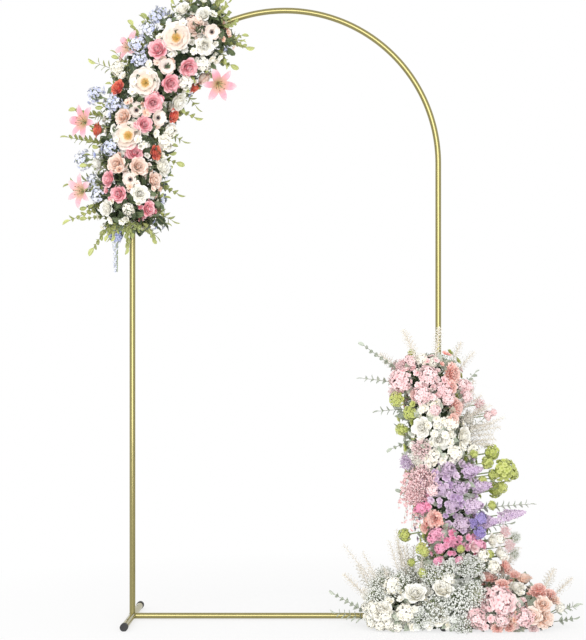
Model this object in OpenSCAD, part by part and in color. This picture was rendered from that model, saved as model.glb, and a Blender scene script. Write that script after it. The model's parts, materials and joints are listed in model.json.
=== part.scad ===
// Round-topped wedding arch of golden steel tube, dressed with two made-up flower pieces:
// a swag tied along the top left bend and a spray that stands on the floor at the right.
// +X is to the right, the front faces -Y, +Z is up, and the floor is at z = 0.

/* [Arch] */
// Distance between the centre lines of the two uprights
arch_width = 1000; // [950:10:1050]
// Height from the floor to the top of the bend
arch_height = 2000; // [1900:10:2100]
// Place of the middle of the arch along X, from the middle of the whole dressed arch
arch_x = -110; // [-120:5:-100]
// Place of the arch along Y, from the middle of the whole dressed arch
arch_y = 20; // [10:5:30]

/* [Tubes] */
// Outside diameter of the uprights, the bend and the floor rail
tube_d = 19; // [18:0.5:21]
// Wall thickness of the tubes and their spigots
tube_wall = 0.9; // [0.8:0.1:1.2]
// Length of the reduced end that slides into the next tube
spigot_len = 40; // [30:5:50]
// Clearance all round a spigot in its socket
fit_gap = 0.1; // [0.05:0.05:0.2]

/* [Feet] */
// Outside diameter of the foot bars
foot_d = 22; // [21:0.5:25]
// Wall thickness of the foot bars
foot_wall = 1; // [0.8:0.1:1.5]
// Length of each foot bar, from front to back
foot_length = 400; // [380:10:420]
// Length of the welded stubs, from the centre line of the foot bar
stub_length = 60; // [45:5:80]
// Diameter of the peg holes through the foot bars
peg_hole_d = 6; // [5:0.5:8]
// Distance of the peg holes from the upright
peg_hole_y = 125; // [90:5:130]
// Wall thickness of the rubber caps
cap_wall = 1.5; // [1.2:0.1:2]
// Length of the rubber caps
cap_length = 18; // [14:1:24]
// Thickness of the closed end of the caps
cap_end = 3; // [2:0.5:4]
// Height of the flat that each cap stands on
cap_flat = 0.5; // [0.3:0.1:0.6]

/* [Flower swag] */
// Length of the swag on the bend, upward from where the bend begins
swag_up = 555; // [540:5:570]
// Length of the swag on the upright, downward from where the bend begins
swag_down = 190; // [180:5:200]
// Radius of the swag's foam core
swag_r = 55; // [52:1:58]
// Distance of the core's middle in front of the tube
swag_forward = 25; // [22:1:28]
// How much further out the flowers stand at the swag's sides than at its front
swag_spread = 50; // [40:5:60]

/* [Floor spray] */
// Radius of the foam log on the floor
log_r = 80; // [76:1:84]
// Distance of the log's middle in front of the rail
log_forward = 100; // [98:1:104]
// Length of the log's straight part inside the arch, from the right upright
log_inside = 160; // [150:5:170]
// Length of the log's straight part outside the arch, from the right upright
log_outside = 280; // [270:5:290]
// How much further out the flowers stand on top of the log than at its front
log_spread = 50; // [40:5:60]
// Radius of the foam column
column_r = 55; // [52:1:58]
// Distance of the column's middle in front of the upright
column_forward = 75; // [72:1:80]
// How far the column's foot stands outside the right upright
column_stand = 75; // [70:1:80]
// How far the column's top leans inside the right upright
column_reach = 50; // [45:1:55]
// How much further out the flowers stand at the column's sides than at its front
column_spread = 40; // [30:5:50]
// Height of the column's top above the floor
column_top = 830; // [815:5:840]

/* [Hidden] */
$fn = 48;
bend_fn = 144;

// Tubes: radii, and the heights that follow from the arch's size
tube_r = tube_d / 2;
bore_r = tube_r - tube_wall;
spigot_r = bore_r - fit_gap;
spigot_bore_r = spigot_r - tube_wall;
neck = 4;
arch_r = arch_width / 2;
spring_z = arch_height - tube_r - arch_r;
foot_z = foot_d / 2 + cap_wall - cap_flat;
lead = spigot_len + 2 * neck;
upright_part = (spring_z - lead - foot_z - stub_length) / 3;
rail_part = arch_r - stub_length;
half_turn = 45;
spigot_turn = spigot_len / arch_r * 180 / PI;
neck_turn = neck / arch_r * 180 / PI;
weld_bite = 0.3;

// Flower pieces: clearances that keep every piece free of its neighbours
seat = 0.3;
lift = 3;
stalk_r = 1.3;
stem_r = 2.5;
tie_w = 8;
tie_t = 1.2;
swag_turn = swag_up / arch_r * 180 / PI;
slot_w = foot_d + 2 * cap_wall + 2;
column_foot_z = 60;
column_rise = column_top - column_foot_z;
column_lean = -atan((column_stand + column_reach) / column_rise);
column_length = column_rise / cos(column_lean);

// Places of the flowers along the swag: [distance along the tube, turn round the core, radius,
// extra stem], with 0 where the bend begins and at the front, and outward turns positive
swag_peony_list = [[420, 12, 38], [250, 5, 38], [75, 5, 38]];
swag_pink_list = [[380, -45, 22], [357, 22, 23], [292, -38, 22], [200, -28, 22],
    [120, -25, 20], [20, -14, 20], [-65, 38, 20], [-112, 20, 20], [-160, -40, 18]];
swag_blush_list = [[525, -22, 20], [488, 8, 21], [332, -15, 21], [160, 0, 20], [158, -45, 20],
    [128, 22, 18], [-24, -22, 20], [-17, 24, 20], [-65, -5, 20], [-68, -50, 18], [400, -88, 20]];
swag_red_list = [[346, -86, 16], [202, 48, 19], [193, -72, 18], [82, 72, 19], [26, -52, 18]];
swag_white_list = [[530, 20, 18], [485, 48, 19], [477, -36, 20], [432, -58, 20],
    [330, -58, 20], [252, 72, 21], [-12, 66, 18], [-112, -25, 20], [-160, 0, 18], [-158, 42, 18],
    [250, -66, 23], [130, -76, 19], [75, -66, 23], [-22, -68, 20]];
swag_blue_list = [[428, 76, 22], [382, 66, 20], [330, 62, 20], [302, 36, 17],
    [170, 86, 22, 25], [158, 44, 18], [30, 34, 18], [5, 84, 22, 30], [-65, 80, 18],
    [-112, 62, 18]];

// Star lilies: [distance along the tube, turn, length of a petal, extra stem], and the angle
// by which each is turned from its stem towards the front
lily_face = 50;
swag_lily_list = [[435, -84, 42, 90], [98, 82, 42, 80], [-90, 88, 40, 78], [315, 92, 34, 30]];

// Leaf sprigs: [distance along the tube, turn, lean along the tube, length, roll]
swag_sprig_list = [[528, 44, 30, 50, 0], [536, -70, 45, 90, 40], [506, 76, 20, 40, 20],
    [471, 102, 0, 60, 70], [471, -92, 25, 90, 10], [385, 98, 10, 100, 30], [340, 100, 20, 120, 0],
    [325, -92, -20, 100, 60], [285, 92, -25, 150, 30], [225, 98, 25, 110, 80],
    [220, -92, 5, 110, 20], [130, 100, -5, 150, 10], [140, -100, -10, 100, 50],
    [45, 98, 10, 160, 40], [35, -98, -15, 90, 0], [-44, 102, -5, 150, 70],
    [-50, -94, -30, 100, 20], [-130, 90, -20, 150, 10], [-140, -80, -35, 90, 50],
    [-175, 60, -55, 130, 30], [-175, 0, -75, 110, 80]];

// Ties of the swag: distances along the tube
swag_tie_list = [458, 276, 108, -78];

// Places of the flowers on the column: [distance up its axis, turn from the front to the right,
// radius, extra stem]
column_pink_list = [[745, -52, 30], [748, 0, 26], [690, -20, 25], [688, 82, 24], [695, 28, 23]];
column_coral_list = [[742, 50, 26], [635, 46, 25], [300, -36, 22]];
column_lime_list = [[690, -72, 24], [640, -48, 20], [590, -80, 18], [470, 88, 25, 50],
    [410, 80, 36, 75], [345, 104, 24, 55], [255, -84, 20, 40], [210, -60, 18, 20]];
column_white_list = [[640, -2, 22], [590, 30, 22], [590, -30, 22], [590, 82, 20], [542, 2, 22],
    [540, 52, 21], [492, 28, 21], [490, 72, 20], [495, -18, 21]];
column_lilac_list = [[445, 10, 24], [430, 50, 23], [385, -12, 20], [380, 26, 22],
    [375, 66, 23], [330, 8, 21], [320, 44, 24], [270, 20, 22], [260, 66, 24]];
column_magenta_list = [[340, -52, 20], [250, -34, 20], [215, 0, 18], [200, 40, 20]];

// Places of the flowers on the log: [place along X from the right upright, turn up from the
// front, radius, extra stem]
log_pink_list = [[172, 44, 38], [100, 22, 26], [252, 22, 26]];
log_white_list = [[-160, 66, 26], [-122, 28, 25], [-70, 58, 25], [-195, 32, 24], [-20, 26, 24],
    [102, 54, 21], [232, 66, 20], [-230, 62, 20]];
log_coral_list = [[150, 80, 24, 15], [200, 92, 26, 30], [300, 60, 22]];
log_peach_list = [[308, 24, 28], [265, 92, 22], [350, 56, 18], [206, 13, 17]];
log_lime_list = [[-20, 78, 20, 15], [-60, 102, 18], [155, 118, 20, 10]];
log_breath_list = [[-75, 20, 20], [42, 44, 29], [50, 12, 16], [-105, 88, 26], [-180, 106, 26],
    [240, 122, 24], [-64, 132, 18]];

// Grass plumes on the column: [distance up its axis, turn, lean up, length]
column_plume_list = [[762, -20, 60, 170], [764, 25, 64, 150], [700, 98, 45, 150],
    [718, 112, 55, 150], [580, 105, 50, 170], [738, -125, 45, 150]];
// Grass plumes on the log: [place along X from the right upright, turn up, swing, length]
log_plume_list = [[-log_inside, 82, -40, 150], [-log_inside, 132, -25, 170], [-86, 113, 0, 180],
    [log_outside, 88, 40, 130], [log_outside, 128, 25, 150], [-38, 126, 0, 170]];

// Leaf sprigs of the spray: [distance up the column, turn, lean up, length, roll]
column_sprig_list = [[755, -88, 40, 170, 0], [725, -96, 20, 150, 40], [650, -98, 5, 110, 80],
    [560, -92, -20, 90, 20], [532, 104, 20, 120, 60], [368, 125, 0, 130, 10],
    [300, 84, 0, 200, 50], [240, 96, -5, 130, 80], [640, 126, 30, 170, 20], [560, 206, 25, 190, 60],
    [400, 145, 15, 170, 40], [330, 220, 15, 150, 10]];
// [place along X from the right upright, turn up, swing to the right, length, roll]
log_sprig_list = [[log_outside, 72, 62, 80, 0], [log_outside, 46, 76, 60, 50],
    [log_outside, 110, 66, 75, 20], [-log_inside, 58, -72, 100, 30],
    [-log_inside, 100, -62, 120, 70], [-70, 148, 0, 130, 10], [85, 150, 0, 140, 50],
    [190, 142, 0, 140, 80]];

// Ties of the spray: distances up the column
column_tie_list = [360, 520, 670];

// Carries the arch to its place, so that the origin is under the middle of the whole object
module placed() {
    translate([arch_x, arch_y, 0]) children();
}

// One tube, upright from z = 0, with a spigot on its upper end where asked
module straight_tube(length, spigot) {
    color("gold") rotate_extrude() polygon(spigot
        ? [[bore_r, 0], [tube_r, 0], [tube_r, length], [spigot_r, length],
            [spigot_r, length + spigot_len - 2], [spigot_r - 0.5, length + spigot_len],
            [spigot_bore_r, length + spigot_len], [spigot_bore_r, length - 1],
            [bore_r, length - neck]]
        : [[bore_r, 0], [tube_r, 0], [tube_r, length], [bore_r, length]]);
}

// A round bar bent to the arch, from one angle through a turn, in the plane of the arch
module bent_bar(radius, from, turn) {
    rotate([90, 0, 0]) rotate_extrude(start = from, angle = turn, $fn = bend_fn)
        translate([arch_r, 0]) circle(radius);
}

// One bent tube on the right-hand side, with a spigot on its upper end where asked. The lower
// one starts with a straight end below the bend, which takes the upright's straight spigot
module bent_tube(from, spigot) {
    end = from + half_turn;
    straight = from == 0;
    start = straight ? 0 : from - 1;
    color("gold") difference() {
        union() {
            bent_bar(tube_r, from, half_turn);
            if (straight) straight_bar(tube_r, lead);
            if (spigot) bent_bar(spigot_r, end - neck_turn, neck_turn + spigot_turn);
        }
        bent_bar(bore_r, start, (spigot ? end - neck_turn : end + 1) - start);
        if (straight) straight_bar(bore_r, lead + 1);
        if (spigot) bent_bar(spigot_bore_r, end - 2 * neck_turn, spigot_turn + 3 * neck_turn);
    }
}

// A round bar straight down from the foot of the bend
module straight_bar(radius, length) {
    translate([arch_r, 0, -length]) cylinder(r = radius, h = length);
}

// Upright tube number i, counted from the foot, at the side given
module upright(side, i) {
    translate([side * arch_r, 0, foot_z + stub_length + i * upright_part])
        straight_tube(upright_part, true);
}

// The bent tubes are made on the right and mirrored to the left
module bend(side, from, spigot) {
    translate([0, 0, spring_z]) mirror([side < 0 ? 1 : 0, 0, 0]) bent_tube(from, spigot);
}

// Half of the floor rail, running to the right from the place given
module rail(x, spigot) {
    translate([x, 0, foot_z]) rotate([0, 90, 0]) straight_tube(rail_part, spigot);
}

// A foot: the bar, the two welded stubs with their spigots, and the two peg holes
module foot(side) {
    color("gold") translate([side * arch_r, 0, foot_z]) {
        difference() {
            rotate([90, 0, 0]) difference() {
                cylinder(d = foot_d, h = foot_length, center = true);
                cylinder(d = foot_d - 2 * foot_wall, h = foot_length + 2, center = true);
            }
            for (y = [-peg_hole_y, peg_hole_y])
                translate([0, y, 0]) cylinder(d = peg_hole_d, h = 2 * foot_d, center = true);
        }
        stub(0);
        stub(-side * 90);
    }
}

// A stub on the foot bar, coped to its round and turned by an angle about the bar
module stub(turn) {
    rotate([0, turn, 0]) difference() {
        straight_tube(stub_length, true);
        rotate([90, 0, 0]) cylinder(d = foot_d - 2 * weld_bite, h = foot_d + 4, center = true);
    }
}

// A rubber cap on the front (-1) or back (1) end of a foot bar, with a flat underside
module cap(side, end) {
    cap_r = foot_d / 2 + cap_wall;
    color("black") translate([side * arch_r, end * (foot_length / 2 + cap_end), foot_z])
        difference() {
            rotate([end * 90, 0, 0]) difference() {
                cylinder(r = cap_r, h = cap_length);
                translate([0, 0, cap_end]) cylinder(r = foot_d / 2 + fit_gap, h = cap_length);
            }
            translate([-cap_r, -foot_length, -foot_z - foot_d])
                cube([2 * cap_r, 2 * foot_length, foot_d]);
        }
}

// Carries its children to a place along the left tube, with local Z along the tube
module on_tube(s) {
    turn = max(0, s) / arch_r * 180 / PI;
    translate([-arch_r * cos(turn), 0, spring_z + (s < 0 ? s : arch_r * sin(turn))])
        rotate([0, turn, 0]) children();
}

// Carries its children out from the swag's core, with local Z pointing away from its middle
module from_swag(s, turn) {
    on_tube(s) translate([0, -swag_forward, 0]) rotate([0, 0, -turn]) rotate([90, 0, 0])
        children();
}

// Carries its children out from the column, with local Z pointing away from its middle
module from_column(h, turn) {
    on_column(h) rotate([0, 0, turn]) rotate([90, 0, 0]) children();
}

// Carries its children up the leaning column, with local Z along its axis
module on_column(h) {
    translate([arch_r + column_stand, -column_forward, column_foot_z])
        rotate([0, column_lean, 0]) translate([0, 0, h]) children();
}

// Carries its children out from the log, turned up from the front and swung to the right
module from_log(x, turn, swing = 0) {
    translate([arch_r + x, -log_forward, 0]) rotate([-turn, 0, 0]) rotate([90, 0, 0])
        rotate([0, swing, 0]) children();
}

// Swings a flower on the log's round ends so that its head comes to the place given
module head_on_log(item) {
    base = min(max(item[0], -log_inside), log_outside);
    reach = head_reach(log_r, item, log_spread);
    from_log(base, item[1], asin((item[0] - base) / reach))
        flower_at(log_r, item, log_spread) children();
}

// Seats a thin stalk on the face of a core and leans it along the core from there
module stalk_seat(core_r, lean) {
    translate([0, 0, core_r + seat + stalk_r * abs(sin(lean))]) rotate([-lean, 0, 0]) children();
}

// Distance of a flower's middle from the middle of its core
function head_reach(core_r, item, spread) =
    core_r + lift + 0.7 * item[2] + spread * abs(sin(item[1]))
        + (is_undef(item[3]) ? 0 : item[3]);

// A stem from the core's face up to the flower's middle, and the flower on it
module flower_at(core_r, item, spread) {
    reach = head_reach(core_r, item, spread);
    translate([0, 0, core_r + seat]) cylinder(r = stem_r, h = reach - core_r - seat, $fn = 16);
    translate([0, 0, reach]) children();
}

// Outline of a half flower head, right of its axis, cut level at its underside
module half_head(r, top) {
    intersection() {
        circle(r);
        translate([0, -0.7 * r]) square([r, (0.7 + top) * r]);
    }
}

// A rose: a cup of petals with a hollow top and a bud in it
module rose(r) {
    rotate_extrude() {
        difference() {
            half_head(r, 0.8);
            translate([0, 0.95 * r]) circle(0.5 * r);
        }
        intersection() {
            translate([0, 0.35 * r]) circle(0.3 * r);
            translate([0, 0.2 * r]) square(r);
        }
    }
}

// A peony: a wide open bowl of petals round a low domed middle
module peony(r) {
    rotate_extrude() {
        difference() {
            half_head(r, 0.25);
            translate([0, 0.75 * r]) circle(0.85 * r);
        }
        intersection() {
            translate([0, -0.15 * r]) circle(0.3 * r);
            translate([0, -0.3 * r]) square(r);
        }
    }
}

// A close cluster of small flowers: a plain ball with a flat underside
module cluster(r) {
    rotate_extrude() half_head(r, 1);
}

// A lilac: a blunt cone of small flowers
module panicle(r) {
    rotate_extrude() {
        half_head(r, 0);
        polygon([[0, -0.1 * r], [r, 0], [0.45 * r, 1.2 * r], [0, 1.2 * r]]);
        intersection() {
            translate([0, 1.2 * r]) circle(0.45 * r);
            square([r, 2 * r]);
        }
    }
}

// A pointed leaf or petal along +Y, from two arcs
module blade(length, width, thick) {
    arc_r = (length * length + width * width) / (4 * width);
    linear_extrude(thick, center = true) intersection_for(side = [-1, 1])
        translate([side * (arc_r - width / 2), length / 2]) circle(arc_r, $fn = 64);
}

// A six-petalled star lily with a small cone at its throat
module lily(petal) {
    cylinder(r1 = 3, r2 = 6, h = 8, $fn = 24);
    for (i = [0:5])
        rotate([0, 0, 60 * i]) translate([0, 2, 4]) rotate([25, 0, 0])
            blade(petal, 0.36 * petal, 1.6);
}

// A straight sprig of leaves in pairs, upright from z = 0, with one leaf at its tip
module sprig(length, leaf = 34) {
    pairs = floor((length - 20) / 26);
    cylinder(r = stalk_r, h = length, $fn = 16);
    translate([0, 0, length - 4]) rotate([90, 0, 0]) blade(leaf, 0.4 * leaf, 1.2);
    for (i = [1:pairs], side = [-1, 1])
        translate([0, 0, i * 26 - 4 + 5 * side]) rotate([0, side * 48, 0]) rotate([90, 0, 0])
            blade(leaf, 0.4 * leaf, 1.2);
}

// A feathery plume on a thin stalk, upright from z = 0
module plume(length) {
    cylinder(r = stalk_r, h = length, $fn = 16);
    translate([0, 0, 0.35 * length]) cylinder(r1 = 3, r2 = 9, h = 0.3 * length, $fn = 24);
    translate([0, 0, 0.65 * length]) cylinder(r1 = 9, r2 = 2, h = 0.35 * length, $fn = 24);
}

// Cross-section of the swag's core, X away from the arch's middle and Y forward
module core_outline() {
    difference() {
        translate([0, swag_forward]) circle(swag_r);
        translate([-2 * swag_r, -2 * swag_r]) square([4 * swag_r, 2 * swag_r]);
        circle(tube_r + seat);
    }
}

module swag_base() {
    color("darkolivegreen") translate([0, 0, spring_z]) {
        rotate([90, 0, 0])
            rotate_extrude(start = 180 - swag_turn, angle = swag_turn, $fn = bend_fn)
            translate([arch_r, 0]) core_outline();
        translate([-arch_r, 0, -swag_down]) linear_extrude(swag_down)
            rotate([0, 0, 180]) core_outline();
    }
}

module swag_ties() {
    color("darkgreen") for (s = swag_tie_list)
        on_tube(s) translate([0, 0, -tie_w / 2]) linear_extrude(tie_w) rotate([0, 0, 180])
            difference() {
                tie_outline(seat + tie_t);
                tie_outline(seat);
            }
}

// Outline of a band stretched round the core and the tube, at a distance from them
module tie_outline(gap) {
    difference() {
        translate([0, swag_forward]) circle(swag_r + gap);
        translate([-2 * swag_r, -3 * swag_r - tube_r - gap]) square([4 * swag_r, 3 * swag_r]);
    }
}

// All the flowers of one kind on the swag
module swag_flowers(list) {
    for (item = list) from_swag(item[0], item[1]) flower_at(swag_r, item, swag_spread) {
        rose(item[2]);
    }
}

module swag_peonies() {
    color("mistyrose") for (item = swag_peony_list)
        from_swag(item[0], item[1]) flower_at(swag_r, item, swag_spread) peony(item[2]);
}

module swag_blue_clusters() {
    color("lightsteelblue") for (item = swag_blue_list)
        from_swag(item[0], item[1]) flower_at(swag_r, item, swag_spread) cluster(item[2]);
}

module swag_lilies() {
    color("palevioletred") for (item = swag_lily_list)
        from_swag(item[0], item[1]) flower_at(swag_r, [0, 0, 10, item[3]], 0)
            rotate([0, sign(item[1]) * lily_face, 0]) lily(item[2]);
}

module swag_leaf_sprigs() {
    color("olivedrab") for (item = swag_sprig_list)
        from_swag(item[0], item[1]) stalk_seat(swag_r, item[2]) rotate([0, 0, item[4]])
            sprig(item[3]);
}

module swag_hanging_spike() {
    color("slateblue") on_tube(-swag_down) translate([-45, -swag_forward, -seat])
        rotate([180, 0, 0]) {
            cylinder(r = 2, h = 60, $fn = 16);
            translate([0, 0, 30]) cylinder(r1 = 8, r2 = 16, h = 50, $fn = 24);
            translate([0, 0, 80]) cylinder(r1 = 16, r2 = 4, h = 90, $fn = 24);
        }
}

// The foam log: half round, flat on the floor, with a slot over the right foot bar
module spray_log() {
    color("darkgreen") translate([arch_r, -log_forward, 0]) difference() {
        union() {
            translate([-log_inside, 0, 0]) rotate([0, 90, 0])
                cylinder(r = log_r, h = log_inside + log_outside);
            for (x = [-log_inside, log_outside]) translate([x, 0, 0]) sphere(log_r);
        }
        translate([-log_inside - 2 * log_r, -2 * log_r, -2 * log_r])
            cube([log_inside + log_outside + 4 * log_r, 4 * log_r, 2 * log_r]);
        translate([-slot_w / 2, -2 * log_r, -1]) cube([slot_w, 4 * log_r, slot_w + 1]);
    }
}

module spray_column() {
    color("darkolivegreen") difference() {
        on_column(0) cylinder(r = column_r, h = column_length);
        translate([arch_r - log_inside, -log_forward, 0]) rotate([0, 90, 0])
            cylinder(r = log_r + seat, h = log_inside + log_outside);
    }
}

// A tie of the spray: a band round the column, one round the upright, and the twist between
module column_tie(h) {
    aside = column_stand + h * sin(column_lean);
    apart = norm([aside, column_forward]);
    on_column(h) band(column_r);
    translate([arch_r, 0, column_foot_z + h * cos(column_lean)]) {
        band(tube_r);
        rotate([0, 0, atan(aside / column_forward)])
            translate([-4, column_r + seat + tie_t / 2 - apart, -3])
                cube([8, apart - column_r - tube_r - 2 * seat - tie_t, 6]);
    }
}

// A flat band round a bar
module band(r) {
    translate([0, 0, -tie_w / 2]) rotate_extrude()
        translate([r + seat, 0]) square([tie_t, tie_w]);
}

module spray_ties() {
    color("darkgreen") for (h = column_tie_list) column_tie(h);
}

module spray_pink_hydrangeas() {
    color("lightpink") {
        for (item = column_pink_list)
            from_column(item[0], item[1]) flower_at(column_r, item, column_spread) cluster(item[2]);
        for (item = log_pink_list) head_on_log(item) cluster(item[2]);
    }
}

module spray_white_roses() {
    color("ivory") {
        for (item = column_white_list)
            from_column(item[0], item[1]) flower_at(column_r, item, column_spread) rose(item[2]);
        for (item = log_white_list) head_on_log(item) rose(item[2]);
    }
}

module spray_lime_balls() {
    color("yellowgreen") {
        for (item = column_lime_list)
            from_column(item[0], item[1]) flower_at(column_r, item, column_spread) cluster(item[2]);
        for (item = log_lime_list) head_on_log(item) cluster(item[2]);
    }
}

module spray_lilacs() {
    color("mediumpurple") for (item = column_lilac_list)
        from_column(item[0], item[1]) flower_at(column_r, item, column_spread) panicle(item[2]);
}

module spray_magenta_stocks() {
    color("palevioletred") for (item = column_magenta_list)
        from_column(item[0], item[1]) flower_at(column_r, item, column_spread) panicle(item[2]);
}

module spray_coral_carnations() {
    color("lightcoral") {
        for (item = column_coral_list)
            from_column(item[0], item[1]) flower_at(column_r, item, column_spread) rose(item[2]);
        for (item = log_coral_list) head_on_log(item) rose(item[2]);
    }
}

module spray_peach_roses() {
    color("peachpuff") for (item = log_peach_list) head_on_log(item) rose(item[2]);
}

module spray_baby_breath() {
    color("whitesmoke") for (item = log_breath_list) head_on_log(item) cluster(item[2]);
}

// The hanging tail of small pink flowers, on a stem out of the column's left side
module spray_pink_drape() {
    color("pink") from_column(440, -72) {
        translate([0, 0, column_r + seat]) cylinder(r = stem_r, h = 40, $fn = 16);
        translate([0, 0, column_r + 34]) {
            sphere(26);
            rotate([72, 0, 0]) cylinder(r1 = 25, r2 = 6, h = 190);
        }
    }
}

module spray_grass_plumes() {
    color("antiquewhite") {
        for (item = column_plume_list)
            from_column(item[0], item[1]) stalk_seat(column_r, item[2]) plume(item[3]);
        for (item = log_plume_list)
            from_log(item[0], item[1], item[2]) stalk_seat(log_r, 0) plume(item[3]);
    }
}

module spray_leaf_sprigs() {
    color("darkseagreen") {
        for (item = column_sprig_list)
            from_column(item[0], item[1]) stalk_seat(column_r, item[2])
                rotate([0, 0, item[4]]) sprig(item[3]);
        for (item = log_sprig_list)
            from_log(item[0], item[1], item[2]) stalk_seat(log_r, 0)
                rotate([0, 0, item[4]]) sprig(item[3]);
    }
}

placed() foot(-1);  // left_foot
placed() foot(1);  // right_foot
placed() cap(-1, -1);  // left_front_cap
placed() cap(-1, 1);  // left_back_cap
placed() cap(1, -1);  // right_front_cap
placed() cap(1, 1);  // right_back_cap
placed() upright(-1, 0);  // left_upright_lower
placed() upright(-1, 1);  // left_upright_middle
placed() upright(-1, 2);  // left_upright_upper
placed() upright(1, 0);  // right_upright_lower
placed() upright(1, 1);  // right_upright_middle
placed() upright(1, 2);  // right_upright_upper
placed() bend(-1, 0, true);  // arch_left_lower
placed() bend(-1, half_turn, true);  // arch_left_upper
placed() bend(1, half_turn, false);  // arch_right_upper
placed() bend(1, 0, true);  // arch_right_lower
placed() rail(-rail_part, true);  // rail_left
placed() rail(0, false);  // rail_right
placed() swag_base();
placed() swag_ties();
placed() swag_peonies();
placed() color("hotpink") swag_flowers(swag_pink_list);  // swag_pink_roses
placed() color("peachpuff") swag_flowers(swag_blush_list);  // swag_blush_roses
placed() color("crimson") swag_flowers(swag_red_list);  // swag_red_roses
placed() color("ivory") swag_flowers(swag_white_list);  // swag_white_roses
placed() swag_lilies();
placed() swag_blue_clusters();
placed() swag_leaf_sprigs();
placed() swag_hanging_spike();
placed() spray_log();
placed() spray_column();
placed() spray_ties();
placed() spray_pink_hydrangeas();
placed() spray_white_roses();
placed() spray_lime_balls();
placed() spray_lilacs();
placed() spray_magenta_stocks();
placed() spray_coral_carnations();
placed() spray_peach_roses();
placed() spray_baby_breath();
placed() spray_pink_drape();
placed() spray_grass_plumes();
placed() spray_leaf_sprigs();
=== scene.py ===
"""Wedding arch of golden tube with a floral swag and a tall floor spray: finishes, petals, leaves.

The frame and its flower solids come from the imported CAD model. Each flower solid gives the place,
the direction and the size of the flower that is modelled here in its stead.
"""

import json
import math

import bpy
import numpy as np
from bpy.props import (
    FloatProperty,
    FloatVectorProperty,
    IntProperty,
    PointerProperty,
)
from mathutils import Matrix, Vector


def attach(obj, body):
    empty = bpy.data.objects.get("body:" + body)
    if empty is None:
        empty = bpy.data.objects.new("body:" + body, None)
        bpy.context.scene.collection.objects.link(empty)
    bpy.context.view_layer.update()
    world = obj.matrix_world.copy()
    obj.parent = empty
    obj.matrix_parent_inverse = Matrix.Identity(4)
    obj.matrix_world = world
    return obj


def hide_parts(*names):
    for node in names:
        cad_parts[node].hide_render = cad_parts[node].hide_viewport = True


bl_info = {
    "name": "Wedding Arch Florals",
    "version": (1, 0, 0),
    "blender": (4, 5, 0),
    "location": "View3D > Sidebar > Arch",
    "description": "Dresses a golden wedding arch with a floral swag and a floor spray",
    "category": "Object",
}

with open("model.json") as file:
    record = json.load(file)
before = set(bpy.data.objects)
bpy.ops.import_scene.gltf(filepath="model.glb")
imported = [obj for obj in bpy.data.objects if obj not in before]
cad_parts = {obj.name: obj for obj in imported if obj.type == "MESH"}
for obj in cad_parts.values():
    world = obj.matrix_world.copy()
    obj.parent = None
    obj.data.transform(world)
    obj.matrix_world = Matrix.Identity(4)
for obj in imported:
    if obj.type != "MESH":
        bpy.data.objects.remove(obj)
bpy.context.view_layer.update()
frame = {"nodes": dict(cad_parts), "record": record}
NODES = frame["nodes"]

# Colours as they look on screen, from 0 to 255: light petal, dark petal, throat, rim, heart
PETAL_COLOURS = {
    "blush_petal": ((255, 247, 238), (254, 226, 210), (252, 208, 164), (255, 252, 248),
                    (255, 222, 112)),
    "pink_petal": ((254, 196, 202), (244, 134, 154), (230, 98, 124), (255, 228, 230),
                   (240, 190, 120)),
    "peach_petal": ((255, 245, 237), (250, 200, 170), (242, 170, 136), (255, 247, 240),
                    (40, 34, 42)),
    "red_petal": ((242, 116, 90), (222, 66, 58), (176, 36, 36), (250, 162, 130), (220, 160, 80)),
    "white_petal": ((255, 254, 248), (254, 249, 234), (250, 243, 214), (255, 255, 253),
                    (236, 218, 140)),
    "lily_petal": ((252, 206, 214), (240, 154, 174), (198, 178, 92), (255, 230, 232),
                   (150, 84, 50)),
    "blue_petal": ((250, 251, 254), (184, 193, 236), (160, 168, 218), (252, 252, 254),
                   (240, 236, 214)),
    "pale_pink_petal": ((255, 238, 236), (252, 208, 210), (246, 184, 190), (255, 247, 246),
                        (190, 120, 130)),
    "lime_petal": ((218, 223, 138), (162, 174, 70), (140, 154, 54), (232, 237, 166),
                   (214, 220, 120)),
    "lilac_petal": ((242, 222, 238), (186, 154, 198), (150, 120, 172), (246, 234, 246),
                    (240, 230, 190)),
    "deep_lilac_petal": ((176, 158, 214), (120, 104, 180), (100, 84, 160), (206, 194, 230),
                         (240, 230, 190)),
    "magenta_petal": ((253, 200, 220), (244, 148, 188), (228, 112, 160), (255, 222, 234),
                      (240, 220, 170)),
    "coral_petal": ((255, 216, 204), (251, 182, 170), (245, 150, 140), (255, 234, 226),
                    (236, 190, 130)),
    "breath_petal": ((254, 255, 252), (244, 246, 240), (224, 230, 214), (255, 255, 254),
                     (222, 228, 200)),
    "plume": ((255, 252, 245), (247, 241, 230), (240, 232, 218), (255, 254, 250), (232, 226, 210)),
}
STEM_COLOUR = (146, 160, 112)
# Light blade, dark blade, midrib, edge, stalk
LEAF_COLOURS = {
    "leaf": ((204, 210, 132), (138, 152, 84), (226, 228, 164), (216, 218, 154), (134, 126, 80)),
    "grey_leaf": ((214, 221, 206), (160, 173, 150), (228, 232, 218), (222, 228, 212),
                  (150, 152, 126)),
    # Swag filler leaves: a dark green, partly the leaves' own colour and partly painted shade for
    # the shade that falls between the flowers
    "dark_leaf_painted_shade": ((112, 128, 90), (62, 76, 58), (140, 150, 106), (124, 136, 98), (84, 84, 60)),
}
GOLD_NODES = [
    "left_foot", "right_foot", "left_upright_lower", "left_upright_middle", "left_upright_upper",
    "right_upright_lower", "right_upright_middle", "right_upright_upper", "arch_left_lower",
    "arch_left_upper", "arch_right_upper", "arch_right_lower", "rail_left", "rail_right",
]
CAP_NODES = ["left_front_cap", "left_back_cap", "right_front_cap", "right_back_cap"]
PETAL, HEART, STEM = 0.0, 0.5, 1.0
# Turn from one floret to the next, and the range of a random turn, in radians
GOLDEN_ANGLE = 2.39996
ANY_TURN = 6.3
# Steps that spread places evenly along a core and round it, as shares of its length and turn
STEP_ALONG, STEP_ROUND = 0.7548777, 0.5698403
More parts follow.
